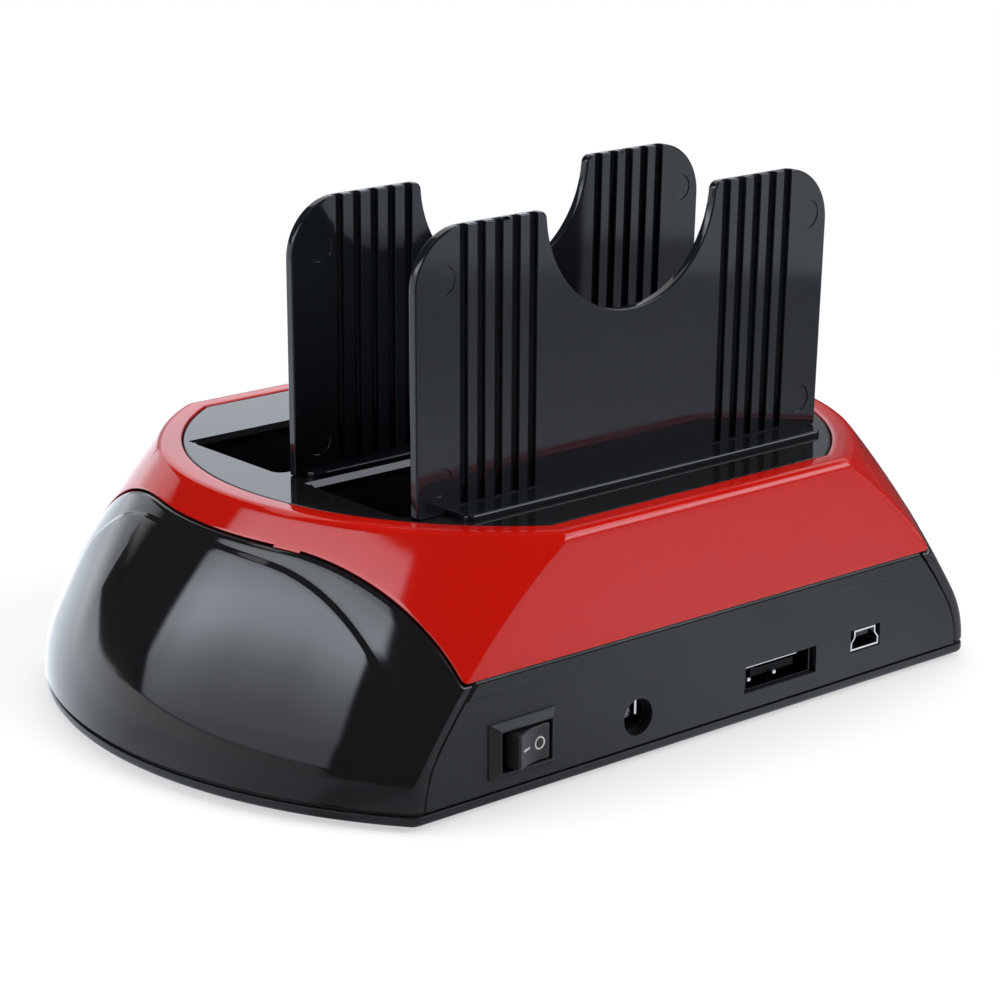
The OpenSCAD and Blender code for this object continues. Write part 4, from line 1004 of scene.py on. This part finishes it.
# %% Cards round the horizon
CARD_IN, BAND_IN, STRIP_IN = 0.01, 0.015, 0.02
BAND_FROM, BAND_TO, BAND_LOW, BAND_HIGH = 98, 106, 0.26, 0.5
STRIP_FROM, STRIP_TO, STRIP_TOP = 294, 340, 47
ROOF_X, ROOF_Y, ROOF_Z, ROOF_HALF = 1.36, 0.68, 1.88, 0.35

ring_angle = np.linspace(78, 204, 127)
ring_z = np.linspace(0, 1, 12)[:, None] * (cloth_foot(ring_angle) + 0.005)
ring_level = np.interp(ring_angle, [81, 87, 91, 95, 100, 110, 117, 126, 136, 148, 159, 175, 187, 192, 196],
                       [1.55, 1.7, 2.05, 2.2, 2.2, 1.85, 1.6, 1.17, 0.96, 0.86, 0.72, 0.52, 0.45, 0.3, 0.1])
ring_fade = np.interp(ring_angle, [78, 90, 99, 108], [0.35, 0.55, 0.68, 0.0])
ring_level = ring_level * (1 - ring_fade * smooth(ring_z / 0.2))
lit_card("horizon_card", ring_wall(WALL_R - CARD_IN, ring_angle, ring_z), ring_level, pale)

band_angle = np.linspace(BAND_FROM, BAND_TO, 17)
band_z = np.broadcast_to(np.linspace(BAND_LOW, BAND_HIGH, 13)[:, None], (13, band_angle.size))
band_end = 1 - smooth((band_angle - BAND_FROM) / (BAND_TO - BAND_FROM))
band_level = 0.8 * band_end * smooth((band_z - BAND_LOW) / 0.08)
lit_card("band_card", ring_wall(WALL_R - BAND_IN, band_angle, band_z), band_level, pale)

far_angle = np.linspace(-30, 78, 55)
far_z = np.broadcast_to(np.linspace(0, 0.95, 20)[:, None], (20, far_angle.size))
far_level = np.interp(far_z, [0, 0.3, 0.42, 0.95], [0.5, 0.52, 1.45, 1.5])
far_dim = 0.12 + 0.88 * smooth((far_angle - 39) / 10)
lit_card("far_card", ring_wall(WALL_R - CARD_IN, far_angle, far_z), far_level * far_dim)

roof_u, roof_v = np.meshgrid(np.linspace(-1, 1, 15), np.linspace(-1, 1, 15))
roof_card_points = np.stack([ROOF_X + ROOF_HALF * roof_u, ROOF_HALF * roof_v - ROOF_Y,
                             np.full_like(roof_u, ROOF_Z)], axis=-1)
roof_level = 3.0 * smooth((1 - np.abs(roof_u)) / 0.4) * smooth((1 - np.abs(roof_v)) / 0.4)
lit_card("roof_card", roof_card_points, roof_level)

strip_angle = np.linspace(STRIP_FROM, STRIP_TO, STRIP_TO - STRIP_FROM + 1)
strip_deg = np.linspace(0, STRIP_TOP, STRIP_TOP + 1)[:, None]
strip_z = (WALL_R - STRIP_IN) * np.tan(np.radians(strip_deg)) * np.ones_like(strip_angle)
strip_level = np.interp(strip_deg, [0, 21, 25, 39, 42, STRIP_TOP], [0.4, 0.4, 4.0, 4.0, 2.6, 2.6])
strip_ends = smooth((strip_angle - STRIP_FROM) / 5) * smooth((STRIP_TO - strip_angle) / 5)
lit_card("front_strip_card", ring_wall(WALL_R - STRIP_IN, strip_angle, strip_z), strip_level * strip_ends)
print("horizon glows up to", round(float(CARD_GAIN * ring_level.max()), 2))

# %% [markdown]
# ## Cards on the floor
#
# The foot of the body shows the floor in its gloss. One even floor would look the same from every side, so
# two cards lie on it: an apron to the right of the port panel, and a round card whose brightness follows the
# bearing. Only the gloss sees them, so the floor itself stays white.

# %% Cards on the floor
APRON_Z, APRON_FROM, APRON_TO, APRON_SOFT = 0.0014, -0.45, 0.5, 0.15
FLOOR_CARD_X, FLOOR_CARD_Y, FLOOR_CARD_Z = 0.05, 0.03, 0.0005

apron_u, apron_out = np.meshgrid(np.linspace(APRON_FROM, APRON_TO, 39), [0.4045, 0.46, 0.7, 1.2])
apron_points = np.stack([apron_out + apron_u, apron_u - apron_out, np.full_like(apron_u, APRON_Z)], axis=-1)
apron_ends = 1.02 * smooth((apron_u - APRON_FROM) / APRON_SOFT) * smooth((APRON_TO - apron_u) / APRON_SOFT)
lit_card("front_apron", apron_points / np.sqrt([2, 2, 1]), apron_ends)

card_angle = np.linspace(0, 360, 145)
card_r = np.array([0.0, 0.03, 0.06, 0.09, 0.12, 0.16, 0.2, 0.3, 0.45, 0.7, 1.1, 1.68])[:, None]
card_x = card_r * np.cos(np.radians(card_angle)) - FLOOR_CARD_X
card_y = card_r * np.sin(np.radians(card_angle)) - FLOOR_CARD_Y
card_points = np.stack([card_x, card_y, np.full_like(card_x, FLOOR_CARD_Z)], axis=-1)
left_level = np.interp(
    card_angle, [83, 86, 90, 97, 105, 113, 120, 126, 133, 140, 158, 168, 176, 190, 196, 200, 203, 216],
    [1.4, 1.7, 1.95, 2.15, 2.0, 1.8, 1.5, 1.25, 1.0, 0.8, 0.74, 0.65, 0.55, 0.49, 0.45, 0.3, 0.2, 0.2])
bearing = np.degrees(np.arctan2(card_y, card_x)) % 360
around_level = np.interp(
    bearing, [0, 30, 52, 60, 68, 75, 90, 105, 125, 140, 158, 180, 200, 230, 270, 290, 312, 318, 340, 360],
    [0.1, 0.03, 0.05, 0.4, 0.7, 1.4, 2.0, 1.7, 1.0, 0.75, 0.56, 0.46, 0.35, 0.4, 0.8, 0.95, 0.93, 0.76, 0.5,
     0.1])
front_side = smooth((np.cos(np.radians(bearing - 260)) + 0.3) / 0.6)
distant_dim = np.interp(np.hypot(card_x, card_y), [0.1, 0.2, 0.3, 0.6, 1.7], [1.0, 0.75, 0.5, 0.3, 0.1])
on_left = smooth((card_angle - 70) / 13) * smooth((222 - card_angle) / 14)
right_level = (1 - on_left) * around_level * (1 + front_side * (distant_dim - 1))
lit_card("floor_card", card_points, on_left * left_level + right_level)
print("floor cards:", apron_u.size + card_x.size, "points")

# %% [markdown]
# ## Lamps and background
#
# Two area lamps give the shape and the shadow. The gloss doesn't see them, because their hard edges would
# show in it. A world of one brightness would wash out the shadow, so the background is white to the camera
# and to the gloss, and dimmer as a light.

# %% Lamps and background
SKY_LIGHT, SKY_SEEN, LAMP_AIM_H = 0.35, 1.0, 0.03


def soft_box(name, azimuth, elevation, distance, width, height, power):
    """Area lamp in that direction from the object, facing it."""
    lamp = bpy.data.lights.new(name, "AREA")
    lamp.shape = "RECTANGLE"
    lamp.size = width
    lamp.size_y = height
    lamp.energy = power
    holder = bpy.data.objects.new(name, lamp)
    a, e = np.radians(azimuth), np.radians(elevation)
    out = np.array([np.cos(a) * np.cos(e), np.sin(a) * np.cos(e), np.sin(e)])
    across = np.array([-np.sin(a), np.cos(a), 0])
    place = np.eye(4)
    place[:3, :3] = np.column_stack([across, np.cross(out, across), out])
    place[:3, 3] = distance * out + np.array([0, 0, LAMP_AIM_H])
    holder.matrix_world = Matrix(place.tolist())
    holder.visible_glossy = False
    scene.collection.objects.link(holder)
    return holder


soft_box("top_soft_box", 60, 75, 1.3, 1.2, 0.9, 13)
soft_box("front_soft_box", 295, 38, 1.3, 0.7, 0.7, 13)

world = bpy.data.worlds.new("studio")
scene.world = world
world.use_nodes = True
sky = world.node_tree
path = add_node(sky, "LightPath").outputs
seen = add_node(sky, "Math", {0: path["Is Camera Ray"], 1: path["Is Glossy Ray"]}, operation="MAXIMUM")
any_ray = {0: seen.outputs["Value"], 1: path["Is Transmission Ray"]}
bright = add_node(sky, "Math", any_ray, operation="MAXIMUM").outputs["Value"]
sky_level = add_node(sky, "MapRange", {"Value": bright, "To Min": SKY_LIGHT, "To Max": SKY_SEEN})
fill(sky, sky.nodes["Background"], {"Color": (1, 1, 1, 1), "Strength": sky_level.outputs["Result"]})
